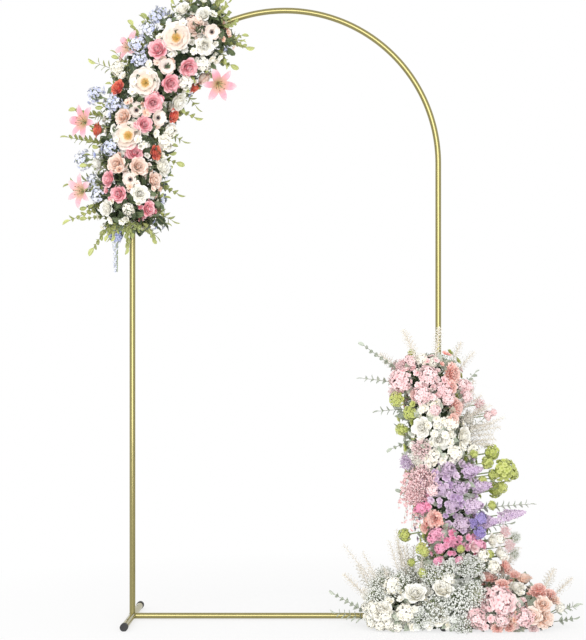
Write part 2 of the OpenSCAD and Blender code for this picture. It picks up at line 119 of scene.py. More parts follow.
# Half the side of a bud's cube, as a share of the bud's radius
BUD_CUBE = 0.62
# In metres: what keeps clear of the floor, how high a stem's end has to be above it, and how near
# to a solid's lowest point its foot is read
FLOOR_CLEARANCE, LOWEST_END, FOOT_BAND = 0.0004, 0.004, 0.0004
# How much larger than its listed radius an added cloud and any other added head is made
CLOUD_GROWTH, ADDED_GROWTH = 1.3, 1.12
# How near a head's middle leaves and small flowers may start, in the head's radii
LEAF_NEAR_PEONY, LEAF_NEAR_HEAD, BLOOM_NEAR_HEAD = 1.05, 0.62, 0.72
# Soft plumes: piece, slot, and tufts as a foot and a tip from the arch's middle, and their number
FEATHER_TUFTS = (
    ("spray_white_feathers", "plume", (
        (0.400, -0.110, 0.060, 0.345, -0.105, 0.300, 3),
        (0.420, -0.120, 0.070, 0.385, -0.120, 0.270, 3),
        (0.380, -0.120, 0.050, 0.300, -0.120, 0.190, 3),
        (0.360, -0.110, 0.050, 0.225, -0.100, 0.245, 2),
        (0.350, -0.120, 0.040, 0.245, -0.130, 0.110, 3),
        (0.440, -0.110, 0.075, 0.430, -0.125, 0.235, 2))),
    ("spray_cream_feathers", "plume", (
        (0.500, -0.100, 0.620, 0.650, -0.110, 0.700, 4),
        (0.505, -0.095, 0.600, 0.680, -0.100, 0.640, 4),
        (0.495, -0.100, 0.640, 0.610, -0.110, 0.745, 3),
        (0.510, -0.090, 0.580, 0.665, -0.090, 0.590, 3),
        (0.640, -0.130, 0.060, 0.745, -0.110, 0.250, 3))),
)
# Flowers of the spray between the CAD model's own heads, by kind and petal: place from the arch's
# middle on the floor, and radius
FILL_HEADS = {
    ("ball", "lime_petal"): [
        (0.645, -0.110, 0.520, 0.020), (0.735, -0.080, 0.480, 0.016),
        (0.695, -0.100, 0.440, 0.017), (0.665, -0.095, 0.480, 0.017),
        (0.630, -0.120, 0.465, 0.014), (0.660, -0.120, 0.385, 0.014),
        (0.600, -0.140, 0.550, 0.013), (0.555, -0.180, 0.255, 0.012),
        (0.405, -0.130, 0.205, 0.013), (0.445, -0.150, 0.240, 0.014),
        (0.435, -0.180, 0.180, 0.014), (0.650, -0.150, 0.235, 0.013),
        (0.405, -0.120, 0.870, 0.012)],
    ("spike", "lilac_petal"): [
        (0.700, -0.110, 0.355, 0.015), (0.680, -0.125, 0.345, 0.018)],
    ("cluster", "deep_lilac_petal"): [
        (0.620, -0.165, 0.350, 0.019), (0.615, -0.170, 0.305, 0.019),
        (0.595, -0.175, 0.335, 0.015)],
    ("cluster", "pale_pink_petal"): [
        (0.400, -0.130, 0.845, 0.020), (0.515, -0.175, 0.725, 0.018),
        (0.475, -0.175, 0.690, 0.016), (0.470, -0.165, 0.440, 0.020),
        (0.680, -0.225, 0.040, 0.020), (0.565, -0.120, 0.770, 0.016),
        (0.580, -0.120, 0.730, 0.017), (0.650, -0.090, 0.670, 0.015),
        (0.670, -0.080, 0.680, 0.011)],
    ("carnation", "coral_petal"): [
        (0.535, -0.170, 0.660, 0.016), (0.410, -0.150, 0.735, 0.013),
        (0.530, -0.165, 0.765, 0.017), (0.440, -0.150, 0.315, 0.013),
        (0.705, -0.150, 0.195, 0.019), (0.685, -0.195, 0.150, 0.017),
        (0.725, -0.165, 0.175, 0.015), (0.665, -0.220, 0.015, 0.015),
        (0.705, -0.215, 0.015, 0.014), (0.840, -0.165, 0.115, 0.016),
        (0.800, -0.180, 0.135, 0.018)],
    ("haze", "pale_pink_petal"): [
        (0.435, -0.150, 0.565, 0.026), (0.440, -0.155, 0.480, 0.030),
        (0.415, -0.140, 0.425, 0.024), (0.700, -0.115, 0.300, 0.015),
        (0.375, -0.120, 0.830, 0.016), (0.360, -0.110, 0.785, 0.020),
        (0.355, -0.100, 0.745, 0.018), (0.620, -0.100, 0.705, 0.016),
        (0.715, -0.110, 0.255, 0.017)],
    ("cluster", "magenta_petal"): [
        (0.465, -0.165, 0.285, 0.014), (0.490, -0.170, 0.255, 0.016),
        (0.485, -0.175, 0.215, 0.014)],
    ("ball", "magenta_petal"): [
        (0.550, -0.185, 0.220, 0.013)],
    ("rose", "white_petal"): [
        (0.660, -0.135, 0.275, 0.017), (0.685, -0.130, 0.235, 0.018),
        (0.495, -0.215, 0.135, 0.024), (0.410, -0.205, 0.120, 0.026),
        (0.265, -0.150, 0.105, 0.015)],
    ("cluster", "white_petal"): [
        (0.625, -0.160, 0.230, 0.020), (0.660, -0.160, 0.195, 0.020),
        (0.515, -0.200, 0.165, 0.020), (0.280, -0.195, 0.075, 0.020),
        (0.315, -0.215, 0.050, 0.018), (0.270, -0.185, 0.040, 0.014),
        (0.870, -0.150, 0.065, 0.016), (0.275, -0.190, 0.025, 0.016),
        (0.300, -0.205, 0.020, 0.016), (0.325, -0.215, 0.025, 0.016),
        (0.355, -0.215, 0.015, 0.014), (0.265, -0.160, 0.040, 0.016),
        (0.260, -0.140, 0.065, 0.015), (0.435, -0.140, 0.850, 0.018),
        (0.470, -0.130, 0.840, 0.016), (0.685, -0.120, 0.280, 0.017),
        (0.695, -0.130, 0.225, 0.016)],
    ("cloud", "breath_petal"): [
        (0.595, -0.180, 0.200, 0.026), (0.565, -0.190, 0.200, 0.024),
        (0.510, -0.195, 0.190, 0.024), (0.540, -0.195, 0.080, 0.040),
        (0.475, -0.205, 0.070, 0.034), (0.555, -0.210, 0.025, 0.028),
        (0.590, -0.205, 0.120, 0.030), (0.460, -0.175, 0.170, 0.024),
        (0.360, -0.150, 0.135, 0.032), (0.305, -0.130, 0.130, 0.028),
        (0.290, -0.175, 0.100, 0.026), (0.285, -0.175, 0.040, 0.024),
        (0.735, -0.100, 0.280, 0.016), (0.730, -0.115, 0.230, 0.015)],
    ("rose", "pale_pink_petal"): [
        (0.600, -0.170, 0.260, 0.014), (0.685, -0.210, 0.095, 0.032),
        (0.780, -0.205, 0.010, 0.013)],
    ("rose", "peach_petal"): [
        (0.775, -0.215, 0.050, 0.022), (0.810, -0.200, 0.085, 0.020),
        (0.825, -0.195, 0.035, 0.017)],
    ("haze", "lilac_petal"): [
        (0.390, -0.140, 0.525, 0.018)],
    ("haze", "white_petal"): [
        (0.420, -0.150, 0.540, 0.018)],
}
flower_heads = {"swag": [], "column": [], "log": []}
core_lines = {}


def on_screen(colour):
    """A colour from 0 to 255, as the linear numbers that a shader takes."""
    parts = [c / 255 for c in colour[:3]]
    linear = [c / 12.92 if c <= 0.04045 else ((c + 0.055) / 1.055) ** 2.4 for c in parts]
    return (*linear, 1.0)


class ArchLayout(bpy.types.PropertyGroup):
    """Where the frame carries its flowers, in the model's own frame."""

    arch_x: FloatProperty(
        name="Arch Middle", description="Place of the arch's middle along X",
        default=-0.110, unit="LENGTH")
    arch_y: FloatProperty(
        name="Arch Plane", description="Place of the arch's plane along Y",
        default=0.020, unit="LENGTH")
    arch_radius: FloatProperty(
        name="Bend Radius", description="Radius of the bend on its centre line",
        default=0.5, min=0.3, unit="LENGTH")
    spring_height: FloatProperty(
        name="Spring Height", description="Height at which the bend begins",
        default=1.4905, min=0.8, unit="LENGTH")
    tube_radius: FloatProperty(
        name="Tube Radius", description="Radius of the uprights, the bend and the rail",
        default=0.0095, min=0.005, unit="LENGTH")
    foot_radius: FloatProperty(
        name="Foot Radius", description="Radius of the foot bars",
        default=0.011, min=0.005, unit="LENGTH")
    foot_height: FloatProperty(
        name="Foot Height", description="Height of the foot bars' centre line",
        default=0.012, min=0.005, unit="LENGTH")
    swag_radius: FloatProperty(
        name="Swag Core Radius", description="Radius of the swag's foam core",
        default=0.055, min=0.02, unit="LENGTH")
    swag_forward: FloatProperty(
        name="Swag Forward", description="How far the swag's core lies in front of the tube",
        default=0.025, unit="LENGTH")
    swag_spread: FloatProperty(
        name="Swag Spread", description="How much further out the flowers stand at the sides",
        default=0.050, min=0, unit="LENGTH")
    swag_low: FloatProperty(
        name="Swag Low End", description="Lower end of the swag's core, along the tube",
        default=-0.190, unit="LENGTH")
    swag_high: FloatProperty(
        name="Swag High End", description="Upper end of the swag's core, along the tube",
        default=0.555, unit="LENGTH")
    lily_face: FloatProperty(
        name="Lily Face", description="How far each lily is turned from its stem to the front",
        default=math.radians(50), subtype="ANGLE")
    column_radius: FloatProperty(
        name="Column Radius", description="Radius of the spray's leaning foam column",
        default=0.055, min=0.02, unit="LENGTH")
    column_foot: FloatVectorProperty(
        name="Column Foot", description="Lower end of the column, from the arch's middle",
        default=(0.575, -0.075, 0.060), size=3, subtype="TRANSLATION")
    column_top: FloatVectorProperty(
        name="Column Top", description="Upper end of the column, from the arch's middle",
        default=(0.450, -0.075, 0.830), size=3, subtype="TRANSLATION")
    column_spread: FloatProperty(
        name="Column Spread", description="How much further out the flowers stand at the sides",
        default=0.040, min=0, unit="LENGTH")
    log_radius: FloatProperty(
        name="Log Radius", description="Radius of the foam log on the floor",
        default=0.080, min=0.03, unit="LENGTH")
    log_forward: FloatProperty(
        name="Log Forward", description="How far the log lies in front of the rail",
        default=0.100, unit="LENGTH")
    log_spread: FloatProperty(
        name="Log Spread", description="How much further out the flowers stand on top",
        default=0.050, min=0, unit="LENGTH")
    log_left: FloatProperty(
        name="Log Left End", description="Left end of the log, from the arch's middle",
        default=0.340, unit="LENGTH")
    log_right: FloatProperty(
        name="Log Right End", description="Right end of the log, from the arch's middle",
        default=0.780, unit="LENGTH")


class FinishSettings(bpy.types.PropertyGroup):
    """Colours and surface detail of the materials."""

    lacquer: FloatVectorProperty(
        name="Lacquer", description="Colour of the golden lacquer on the tubes",
        default=(0.32, 0.285, 0.125), size=3, min=0, max=1, subtype="COLOR")
    lacquer_shade: FloatVectorProperty(
        name="Lacquer Shade", description="Darker gold in seams and worn places",
        default=(0.26, 0.23, 0.095), size=3, min=0, max=1, subtype="COLOR")
    rubber: FloatVectorProperty(
        name="Rubber", description="Colour of the end caps",
        default=(0.022, 0.022, 0.024), size=3, min=0, max=1, subtype="COLOR")
    # The foam's dark green is partly its own colour and partly painted shade, for the dark gaps
    # between the flowers
    foam: FloatVectorProperty(
        name="Foam", description="Colour of the floral foam cores",
        default=(0.045, 0.075, 0.032), size=3, min=0, max=1, subtype="COLOR")
    strap: FloatVectorProperty(
        name="Strap", description="Colour of the green ties",
        default=(0.070, 0.110, 0.045), size=3, min=0, max=1, subtype="COLOR")
    vein_depth: FloatProperty(
        name="Vein Depth", description="Height of the veins in petals and leaves",
        default=0.0006, min=0, max=0.003, unit="LENGTH")


class BloomSettings(bpy.types.PropertyGroup):
    """How full and how varied the flowers are."""

    seed: IntProperty(
        name="Seed", description="Changes every random turn and tint of the flowers",
        default=7, min=0)
    head_growth: FloatProperty(
        name="Head Growth", description="Size of a modelled flower over its solid",
        default=1.14, min=0.8, max=1.4)
    leaf_length: FloatProperty(
        name="Leaf Length", description="Length of the leaves between the flowers",
        default=0.044, min=0.01, max=0.09, unit="LENGTH")
    small_bloom: FloatProperty(
        name="Small Bloom", description="Radius of the small flowers between the heads",
        default=0.012, min=0.004, max=0.03, unit="LENGTH")


class StageSettings(bpy.types.PropertyGroup):
    """Camera and lamps."""

    camera_place: FloatVectorProperty(
        name="Camera Place", description="Where the camera stands",
        default=(0.0, -4.48, 0.848), size=3, subtype="TRANSLATION")
    lens: FloatProperty(
        name="Lens", description="Focal length of the camera in millimetres",
        default=77.4, min=20, max=200)
    key_power: FloatProperty(
        name="Key Power", description="Power of the soft lamp at the upper left",
        default=24.0, min=0, unit="POWER")
    front_power: FloatProperty(
        name="Front Power", description="Power of the wide soft wall of light behind the camera",
        default=190.0, min=0, unit="POWER")
    ambient: FloatProperty(
        name="Ambient", description="Strength of the even light from all round",
        default=0.78, min=0, max=2)


def layout():
    return bpy.context.scene.arch_layout


def finishes():
    return bpy.context.scene.arch_finishes


def blooms():
    return bpy.context.scene.arch_blooms


# Shader node groups

def new_group(name, inputs, outputs):
    """An empty shader group with its sockets, given as (name, type, default) and (name, type)."""
    group = bpy.data.node_groups.new(name, "ShaderNodeTree")
    for label, kind, default in inputs:
        socket = group.interface.new_socket(label, in_out="INPUT", socket_type="NodeSocket" + kind)
        socket.default_value = default
    for label, kind in outputs:
        group.interface.new_socket(label, in_out="OUTPUT", socket_type="NodeSocket" + kind)
    return group, group.nodes.new("NodeGroupInput"), group.nodes.new("NodeGroupOutput")


def connect(tree, source, target):
    tree.links.new(source, target)


def math_node(tree, operation, first, second=0.5, clamp=False):
    """A Math node on sockets or plain numbers."""
    node = tree.nodes.new("ShaderNodeMath")
    node.operation = operation
    node.use_clamp = clamp
    for socket, value in zip(node.inputs, (first, second)):
        if isinstance(value, (int, float)):
            socket.default_value = value
        else:
            connect(tree, value, socket)
    return node.outputs[0]


def mix_node(tree, share, first, second):
    """A colour mix of two sockets or plain colours."""
    node = tree.nodes.new("ShaderNodeMix")
    node.data_type = "RGBA"
    sockets = (node.inputs["Factor"], node.inputs[6], node.inputs[7])
    for socket, value in zip(sockets, (share, first, second)):
        if isinstance(value, bpy.types.NodeSocket):
            connect(tree, value, socket)
        else:
            socket.default_value = value
    return node.outputs[2]


def range_node(tree, value, low, high, out_low=0.0, out_high=1.0):
    """A clamped change of range."""
    node = tree.nodes.new("ShaderNodeMapRange")
    connect(tree, value, node.inputs["Value"])
    for label, number in (("From Min", low), ("From Max", high),
                          ("To Min", out_low), ("To Max", out_high)):
        node.inputs[label].default_value = number
    return node.outputs["Result"]


def noise_node(tree, vector, scale, detail=2.0, rough=0.5):
    node = tree.nodes.new("ShaderNodeTexNoise")
    node.inputs["Scale"].default_value = scale
    node.inputs["Detail"].default_value = detail
    node.inputs["Roughness"].default_value = rough
    connect(tree, vector, node.inputs["Vector"])
    return node.outputs["Fac"]


def growth_sockets(tree):
    """Across (-1 to 1), along (0 to 1), tone (0 to 1) and part of each petal or leaf."""
    grow = tree.nodes.new("ShaderNodeAttribute")
    grow.attribute_name = "grow"
    split = tree.nodes.new("ShaderNodeSeparateXYZ")
    connect(tree, grow.outputs["Vector"], split.inputs[0])
    part = tree.nodes.new("ShaderNodeAttribute")
    part.attribute_name = "part"
    return (*split.outputs[:3], part.outputs["Fac"])


def part_colour(tree, part, petal, heart, stem):
    """Petal, heart or stem colour, by the part that a point belongs to."""
    is_heart = range_node(tree, part, 0.2, 0.3)
    is_stem = range_node(tree, part, 0.7, 0.8)
    return mix_node(tree, is_stem, mix_node(tree, is_heart, petal, heart), stem)


def build_petal_group():
    """Petal tint: light to dark by head, throat at the foot, paler rim, and fine long veins."""
    group, inputs, outputs = new_group(
        "Petal Tint",
        [("Light", "Color", (0.9, 0.8, 0.8, 1)), ("Dark", "Color", (0.8, 0.5, 0.5, 1)),
         ("Throat", "Color", (0.6, 0.3, 0.3, 1)), ("Rim", "Color", (1, 0.9, 0.9, 1)),
         ("Heart", "Color", (0.8, 0.6, 0.2, 1)), ("Stem", "Color", (0.2, 0.3, 0.1, 1)),
         ("Throat Reach", "Float", 0.45), ("Vein Strength", "Float", 0.12)],
        [("Color", "Color"), ("Height", "Float"), ("Roughness", "Float")])
    across, along, tone, part = growth_sockets(group)
    place = group.nodes.new("ShaderNodeCombineXYZ")
    connect(group, math_node(group, "MULTIPLY", across, 9.0), place.inputs[0])
    connect(group, math_node(group, "MULTIPLY", along, 1.6), place.inputs[1])
    connect(group, math_node(group, "MULTIPLY", tone, 37.0), place.inputs[2])
    streaks = noise_node(group, place.outputs[0], 1.0, 3.0, 0.6)
    texture = group.nodes.new("ShaderNodeTexCoord")
    mottle = noise_node(group, texture.outputs["Object"], 160.0, 3.0)
    tint = range_node(group, math_node(
        group, "ADD", tone, math_node(group, "MULTIPLY", mottle, 0.5)), 0.25, 1.15)
    body = mix_node(group, tint, inputs.outputs["Light"], inputs.outputs["Dark"])
    reach = math_node(group, "DIVIDE", along, inputs.outputs["Throat Reach"])
    throat = math_node(group, "SUBTRACT", 1.0, reach, clamp=True)
    body = mix_node(group, throat, body, inputs.outputs["Throat"])
    rim = range_node(group, along, 0.72, 1.0, 0.0, 0.75)
    body = mix_node(group, rim, body, inputs.outputs["Rim"])
    vein = math_node(group, "MULTIPLY", range_node(group, streaks, 0.45, 0.75),
                     inputs.outputs["Vein Strength"])
    body = mix_node(group, vein, body, inputs.outputs["Throat"])
    colour = part_colour(group, part, body, inputs.outputs["Heart"], inputs.outputs["Stem"])
    connect(group, colour, outputs.inputs["Color"])
    connect(group, streaks, outputs.inputs["Height"])
    connect(group, range_node(group, mottle, 0.3, 0.7, 0.62, 0.82), outputs.inputs["Roughness"])
    return group


def build_leaf_group():
    """Leaf tint: pale midrib, slanting side veins, a lighter edge and mottled green."""
    group, inputs, outputs = new_group(
        "Leaf Tint",
        [("Light", "Color", (0.4, 0.5, 0.2, 1)), ("Dark", "Color", (0.1, 0.2, 0.05, 1)),
         ("Midrib", "Color", (0.6, 0.6, 0.3, 1)), ("Edge", "Color", (0.5, 0.6, 0.3, 1)),
         ("Stalk", "Color", (0.2, 0.15, 0.1, 1)), ("Side Veins", "Float", 9.0)],
        [("Color", "Color"), ("Height", "Float"), ("Roughness", "Float")])
    across, along, tone, part = growth_sockets(group)
    aside = math_node(group, "ABSOLUTE", across)
    texture = group.nodes.new("ShaderNodeTexCoord")
    mottle = noise_node(group, texture.outputs["Object"], 90.0, 4.0)
    tint = range_node(group, math_node(
        group, "ADD", tone, math_node(group, "MULTIPLY", mottle, 0.6)), 0.3, 1.2)
    body = mix_node(group, tint, inputs.outputs["Light"], inputs.outputs["Dark"])
    slant = math_node(group, "SUBTRACT", along, math_node(group, "MULTIPLY", aside, 0.28))
    rate = math_node(group, "MULTIPLY", inputs.outputs["Side Veins"], 2 * math.pi)
    wave = math_node(group, "SINE", math_node(group, "MULTIPLY", slant, rate))
    veins = range_node(group, wave, 0.75, 1.0)
    body = mix_node(group, math_node(group, "MULTIPLY", veins, 0.3), body, inputs.outputs["Midrib"])
    body = mix_node(group, range_node(group, aside, 0.8, 1.0, 0.0, 0.5), body,
                    inputs.outputs["Edge"])
    midrib = range_node(group, aside, 0.16, 0.05)
    body = mix_node(group, math_node(group, "MULTIPLY", midrib, 0.8), body,
                    inputs.outputs["Midrib"])
    colour = part_colour(group, part, body, inputs.outputs["Stalk"], inputs.outputs["Stalk"])
    connect(group, colour, outputs.inputs["Color"])
    sunk = math_node(group, "MAXIMUM", midrib, math_node(group, "MULTIPLY", veins, 0.5))
    connect(group, math_node(group, "SUBTRACT", 1.0, sunk), outputs.inputs["Height"])
    connect(group, range_node(group, mottle, 0.3, 0.7, 0.38, 0.56), outputs.inputs["Roughness"])
    return group


def build_wear_group():
    """Handling wear: soft blotches and fine speckle, for lacquer, rubber, foam and straps."""
    group, inputs, outputs = new_group(
        "Handling Wear",
        [("Base", "Color", (0.8, 0.8, 0.8, 1)), ("Shade", "Color", (0.4, 0.4, 0.4, 1)),
         ("Blotch Scale", "Float", 12.0), ("Speckle Scale", "Float", 300.0),
         ("Amount", "Float", 0.3), ("Smooth", "Float", 0.2), ("Rough", "Float", 0.4)],
        [("Color", "Color"), ("Height", "Float"), ("Roughness", "Float")])
    texture = group.nodes.new("ShaderNodeTexCoord")
    masks = []
    for label, detail in (("Blotch Scale", 3.0), ("Speckle Scale", 4.0)):
        node = group.nodes.new("ShaderNodeTexNoise")
        node.inputs["Detail"].default_value = detail
        connect(group, texture.outputs["Object"], node.inputs["Vector"])
        connect(group, inputs.outputs[label], node.inputs["Scale"])
        masks.append(node.outputs["Fac"])
    blotch, speckle = masks
    worn = range_node(group, math_node(group, "ADD", blotch, math_node(
        group, "MULTIPLY", speckle, 0.5)), 0.6, 1.0)
    worn = math_node(group, "MULTIPLY", worn, inputs.outputs["Amount"])
    connect(group, mix_node(group, worn, inputs.outputs["Base"], inputs.outputs["Shade"]),
            outputs.inputs["Color"])
    connect(group, speckle, outputs.inputs["Height"])
    spread = group.nodes.new("ShaderNodeMapRange")
    connect(group, blotch, spread.inputs["Value"])
    spread.inputs["From Min"].default_value = 0.3
    spread.inputs["From Max"].default_value = 0.7
    connect(group, inputs.outputs["Smooth"], spread.inputs["To Min"])
    connect(group, inputs.outputs["Rough"], spread.inputs["To Max"])
    connect(group, spread.outputs["Result"], outputs.inputs["Roughness"])
    return group


GROUP_BUILDERS = {
    "Petal Tint": build_petal_group,
    "Leaf Tint": build_leaf_group,
    "Handling Wear": build_wear_group,
}


def surface(name, group_name, values, bump, metallic=0.0, sheen=0.0, coat=0.0):
    """A material whose colour, roughness and bump come from one of the groups."""
    if name in bpy.data.materials:
        return bpy.data.materials[name]
    group = bpy.data.node_groups.get(group_name) or GROUP_BUILDERS[group_name]()
    material = bpy.data.materials.new(name)
    material.use_nodes = True
    tree = material.node_tree
    shader = tree.nodes["Principled BSDF"]
    effect = tree.nodes.new("ShaderNodeGroup")
    effect.node_tree = group
    for label, value in values.items():
        effect.inputs[label].default_value = value
    relief = tree.nodes.new("ShaderNodeBump")
    relief.inputs["Strength"].default_value = 1.0
    relief.inputs["Distance"].default_value = bump
    connect(tree, effect.outputs["Color"], shader.inputs["Base Color"])
    connect(tree, effect.outputs["Roughness"], shader.inputs["Roughness"])
    connect(tree, effect.outputs["Height"], relief.inputs["Height"])
    connect(tree, relief.outputs["Normal"], shader.inputs["Normal"])
    shader.inputs["Metallic"].default_value = metallic
    shader.inputs["Sheen Weight"].default_value = sheen
    shader.inputs["Coat Weight"].default_value = coat
    shader.inputs["Coat Roughness"].default_value = 0.08
    return material


def petal_material(slot):
    """The petals of one material slot of the record."""
    light, dark, throat, rim, heart = (on_screen(c) for c in PETAL_COLOURS[slot])
    return surface(
        slot + "_cloth", "Petal Tint",
        {"Light": light, "Dark": dark, "Throat": throat, "Rim": rim, "Heart": heart,
         "Stem": on_screen(STEM_COLOUR), "Throat Reach": 0.65 if slot == "lily_petal" else 0.4},
        finishes().vein_depth, sheen=0.2)


def leaf_material(kind):
    """The leaves of one kind."""
    light, dark, midrib, edge, stalk = (on_screen(c) for c in LEAF_COLOURS[kind])
    return surface(
        kind + "_cloth", "Leaf Tint",
        {"Light": light, "Dark": dark, "Midrib": midrib, "Edge": edge, "Stalk": stalk},
        finishes().vein_depth, coat=0.12)


def lacquer_material():
    settings = finishes()
    return surface(
        "golden_lacquer", "Handling Wear",
        {"Base": (*settings.lacquer, 1), "Shade": (*settings.lacquer_shade, 1),
         "Blotch Scale": 6.0, "Speckle Scale": 420.0, "Amount": 0.15, "Smooth": 0.16,
         "Rough": 0.22}, 0.0, metallic=1.0)


# Meshes

def grid_faces(rows, columns):
    """Quads of a grid of rows + 1 by columns + 1 points."""
    first = np.arange(rows)[:, None] * (columns + 1) + np.arange(columns)[None, :]
    return np.stack([first, first + 1, first + columns + 2, first + columns + 1], -1).reshape(-1, 4)


def turned(points, angle):
    """Points turned about Z."""
    c, s = math.cos(angle), math.sin(angle)
    return points @ np.array([[c, s, 0], [-s, c, 0], [0, 0, 1]])


def facing(direction, roll=0.0):
    """A matrix whose rows are the world directions of a flower's own X, Y and Z."""
    z = np.array(direction, float)
    z /= np.linalg.norm(z)
    side = np.array([0.0, 0.0, 1.0]) if abs(z[2]) < 0.9 else np.array([0.0, 1.0, 0.0])
    x = np.cross(side, z)
    x /= np.linalg.norm(x)
    y = np.cross(z, x)
    return np.array([x * math.cos(roll) + y * math.sin(roll),
                     y * math.cos(roll) - x * math.sin(roll), z])


class Bunch:
    """Petals, leaves and stems gathered into one mesh, with their growth coordinates."""

    def __init__(self):
        self.points, self.faces, self.grow, self.part = [], [], [], []
        self.count = 0

    def add(self, points, faces, grow, part):
        """Adds points with faces among them. grow is (across, along, tone) for each point."""
        self.points.append(points)
        self.faces.append(faces + self.count)
        self.grow.append(np.broadcast_to(grow, points.shape))
        self.part.append(np.broadcast_to(np.asarray(part, float), len(points)))
        self.count += len(points)

    def petal(self, length, half, bend, angle=0.0, start=(0, 0, 0), cup=0.3, frill=0.0, tip=0.35,
              foot=0.3, fold=0.0, rows=5, columns=4, phase=0.0, tone=0.5, part=PETAL, widest=0.6):
        """One petal or leaf. It grows from start along +Z, leans towards the angle by the three
        bends in degrees at its foot, middle and tip, and is cupped, frilled or folded."""
        v = np.linspace(0, 1, rows + 1)
        u = np.linspace(-1, 1, columns + 1)
        lean = np.radians(np.interp(v, (0, 0.5, 1), bend))
        middle = (lean[1:] + lean[:-1]) / 2
        x = np.concatenate([[0], np.cumsum(np.sin(middle))]) * length / rows
        z = np.concatenate([[0], np.cumsum(np.cos(middle))]) * length / rows
        rise = foot + (1 - foot) * np.sin(np.pi / 2 * np.minimum(v / widest, 1))
        past = np.maximum(v - widest, 0) / (1 - widest)
        wide = (half * rise * np.sqrt(1 - past ** 2 * (1 - tip ** 2)))[:, None]
        off = (-cup * wide * u ** 2 - fold * wide * np.abs(u)
               + frill * length * v[:, None] ** 2 * np.sin(4 * u + phase))
        grid = np.stack([x[:, None] + off * np.cos(lean)[:, None], wide * u,
                         z[:, None] - off * np.sin(lean)[:, None]], -1).reshape(-1, 3)
        across, along = np.meshgrid(u, v)
        grow = np.stack([across.ravel(), along.ravel(), np.full(across.size, tone)], -1)
        self.add(turned(grid, angle) + np.array(start), grid_faces(rows, columns), grow, part)

    def stem(self, path, radii, sides=5, tone=0.5, part=STEM):
        """A round stem along a path of points, with a radius for each."""
        path = np.array(path, float)
        ahead = np.gradient(path, axis=0)
        ahead /= np.linalg.norm(ahead, axis=1)[:, None]
        guide = np.array([0.31, 0.95, 0.05]) if abs(ahead[0][1]) < 0.8 else np.array([1.0, 0, 0])
        first = np.cross(ahead, guide)
        first /= np.linalg.norm(first, axis=1)[:, None]
        second = np.cross(ahead, first)
        turn = np.linspace(0, 2 * np.pi, sides + 1)
        ring = (np.cos(turn)[None, :, None] * first[:, None] + np.sin(turn)[None, :, None]
                * second[:, None]) * np.array(radii, float)[:, None, None]
        points = (path[:, None] + ring).reshape(-1, 3)
        along = np.repeat(np.linspace(0, 1, len(path)), sides + 1)
        grow = np.stack([np.tile(np.cos(turn), len(path)), along, np.full(len(points), tone)], -1)
        self.add(points, grid_faces(len(path) - 1, sides), grow, part)

    def bead(self, place, radius, tone=0.5, part=HEART, sides=6, stretch=1.0, direction=(0, 0, 1)):
        """A small bead: a stem that swells and closes."""
        z = np.array(direction, float)
        z /= np.linalg.norm(z)
        steps = np.linspace(-0.94, 0.94, 4 if sides > 4 else 3)
        path = np.array(place, float) + steps[:, None] * radius * stretch * z
        self.stem(path, radius * np.sqrt(1 - steps ** 2), sides, tone, part)

    def bud(self, place, radius, tone=0.5, part=PETAL):
        """A tiny round bud: a smooth-shaded cube."""
        corners = np.array([(x, y, z) for x in (-1, 1) for y in (-1, 1) for z in (-1, 1)], float)
        faces = np.array([(0, 1, 3, 2), (4, 6, 7, 5), (0, 4, 5, 1), (2, 3, 7, 6), (0, 2, 6, 4),
                          (1, 5, 7, 3)])
        points = corners * radius * BUD_CUBE + np.array(place, float)
        self.add(points, faces, np.tile((0.0, 0.6, tone), (8, 1)), part)

    def place(self, other, centre, rows, size, tone=0.5, share=0.5):
        """Adds another bunch, turned so that its own axes lie along rows, and scaled."""
        points, faces, grow, part = other.arrays()
        tinted = grow.copy()
        tinted[:, 2] = (1 - share) * grow[:, 2] + share * tone
        self.add(points @ rows * size + np.array(centre), faces, tinted, part)

    def arrays(self):
        """The bunch's points, faces, growth coordinates and parts, joined."""
        if len(self.points) > 1:
            self.points = [np.concatenate(self.points)]
            self.faces = [np.concatenate(self.faces)]
            self.grow = [np.concatenate(self.grow)]
            self.part = [np.concatenate(self.part)]
        return self.points[0], self.faces[0], self.grow[0], self.part[0]

    def to_piece(self, name, material, slot, replaced=()):
        """Makes the bunch a smooth-shaded object that rides on the part."""
        points, faces, grow, part = self.arrays()
        points[:, 2] = np.maximum(points[:, 2], FLOOR_CLEARANCE)
        mesh = bpy.data.meshes.new(name)
        mesh.from_pydata(points.tolist(), [], faces.tolist())
        mesh.attributes.new("grow", "FLOAT_VECTOR", "POINT").data.foreach_set(
            "vector", grow.astype(np.float32).ravel())
        mesh.attributes.new("part", "FLOAT", "POINT").data.foreach_set(
            "value", part.astype(np.float32))
        mesh.shade_smooth()
        mesh.materials.append(material)
        piece = bpy.data.objects.new(name, mesh)
        bpy.context.scene.collection.objects.link(piece)
        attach(piece, "root")
        if replaced:
            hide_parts(*replaced)
        return piece


# Flower kinds. Each one has a radius of about 1, with its middle at the origin and its face up

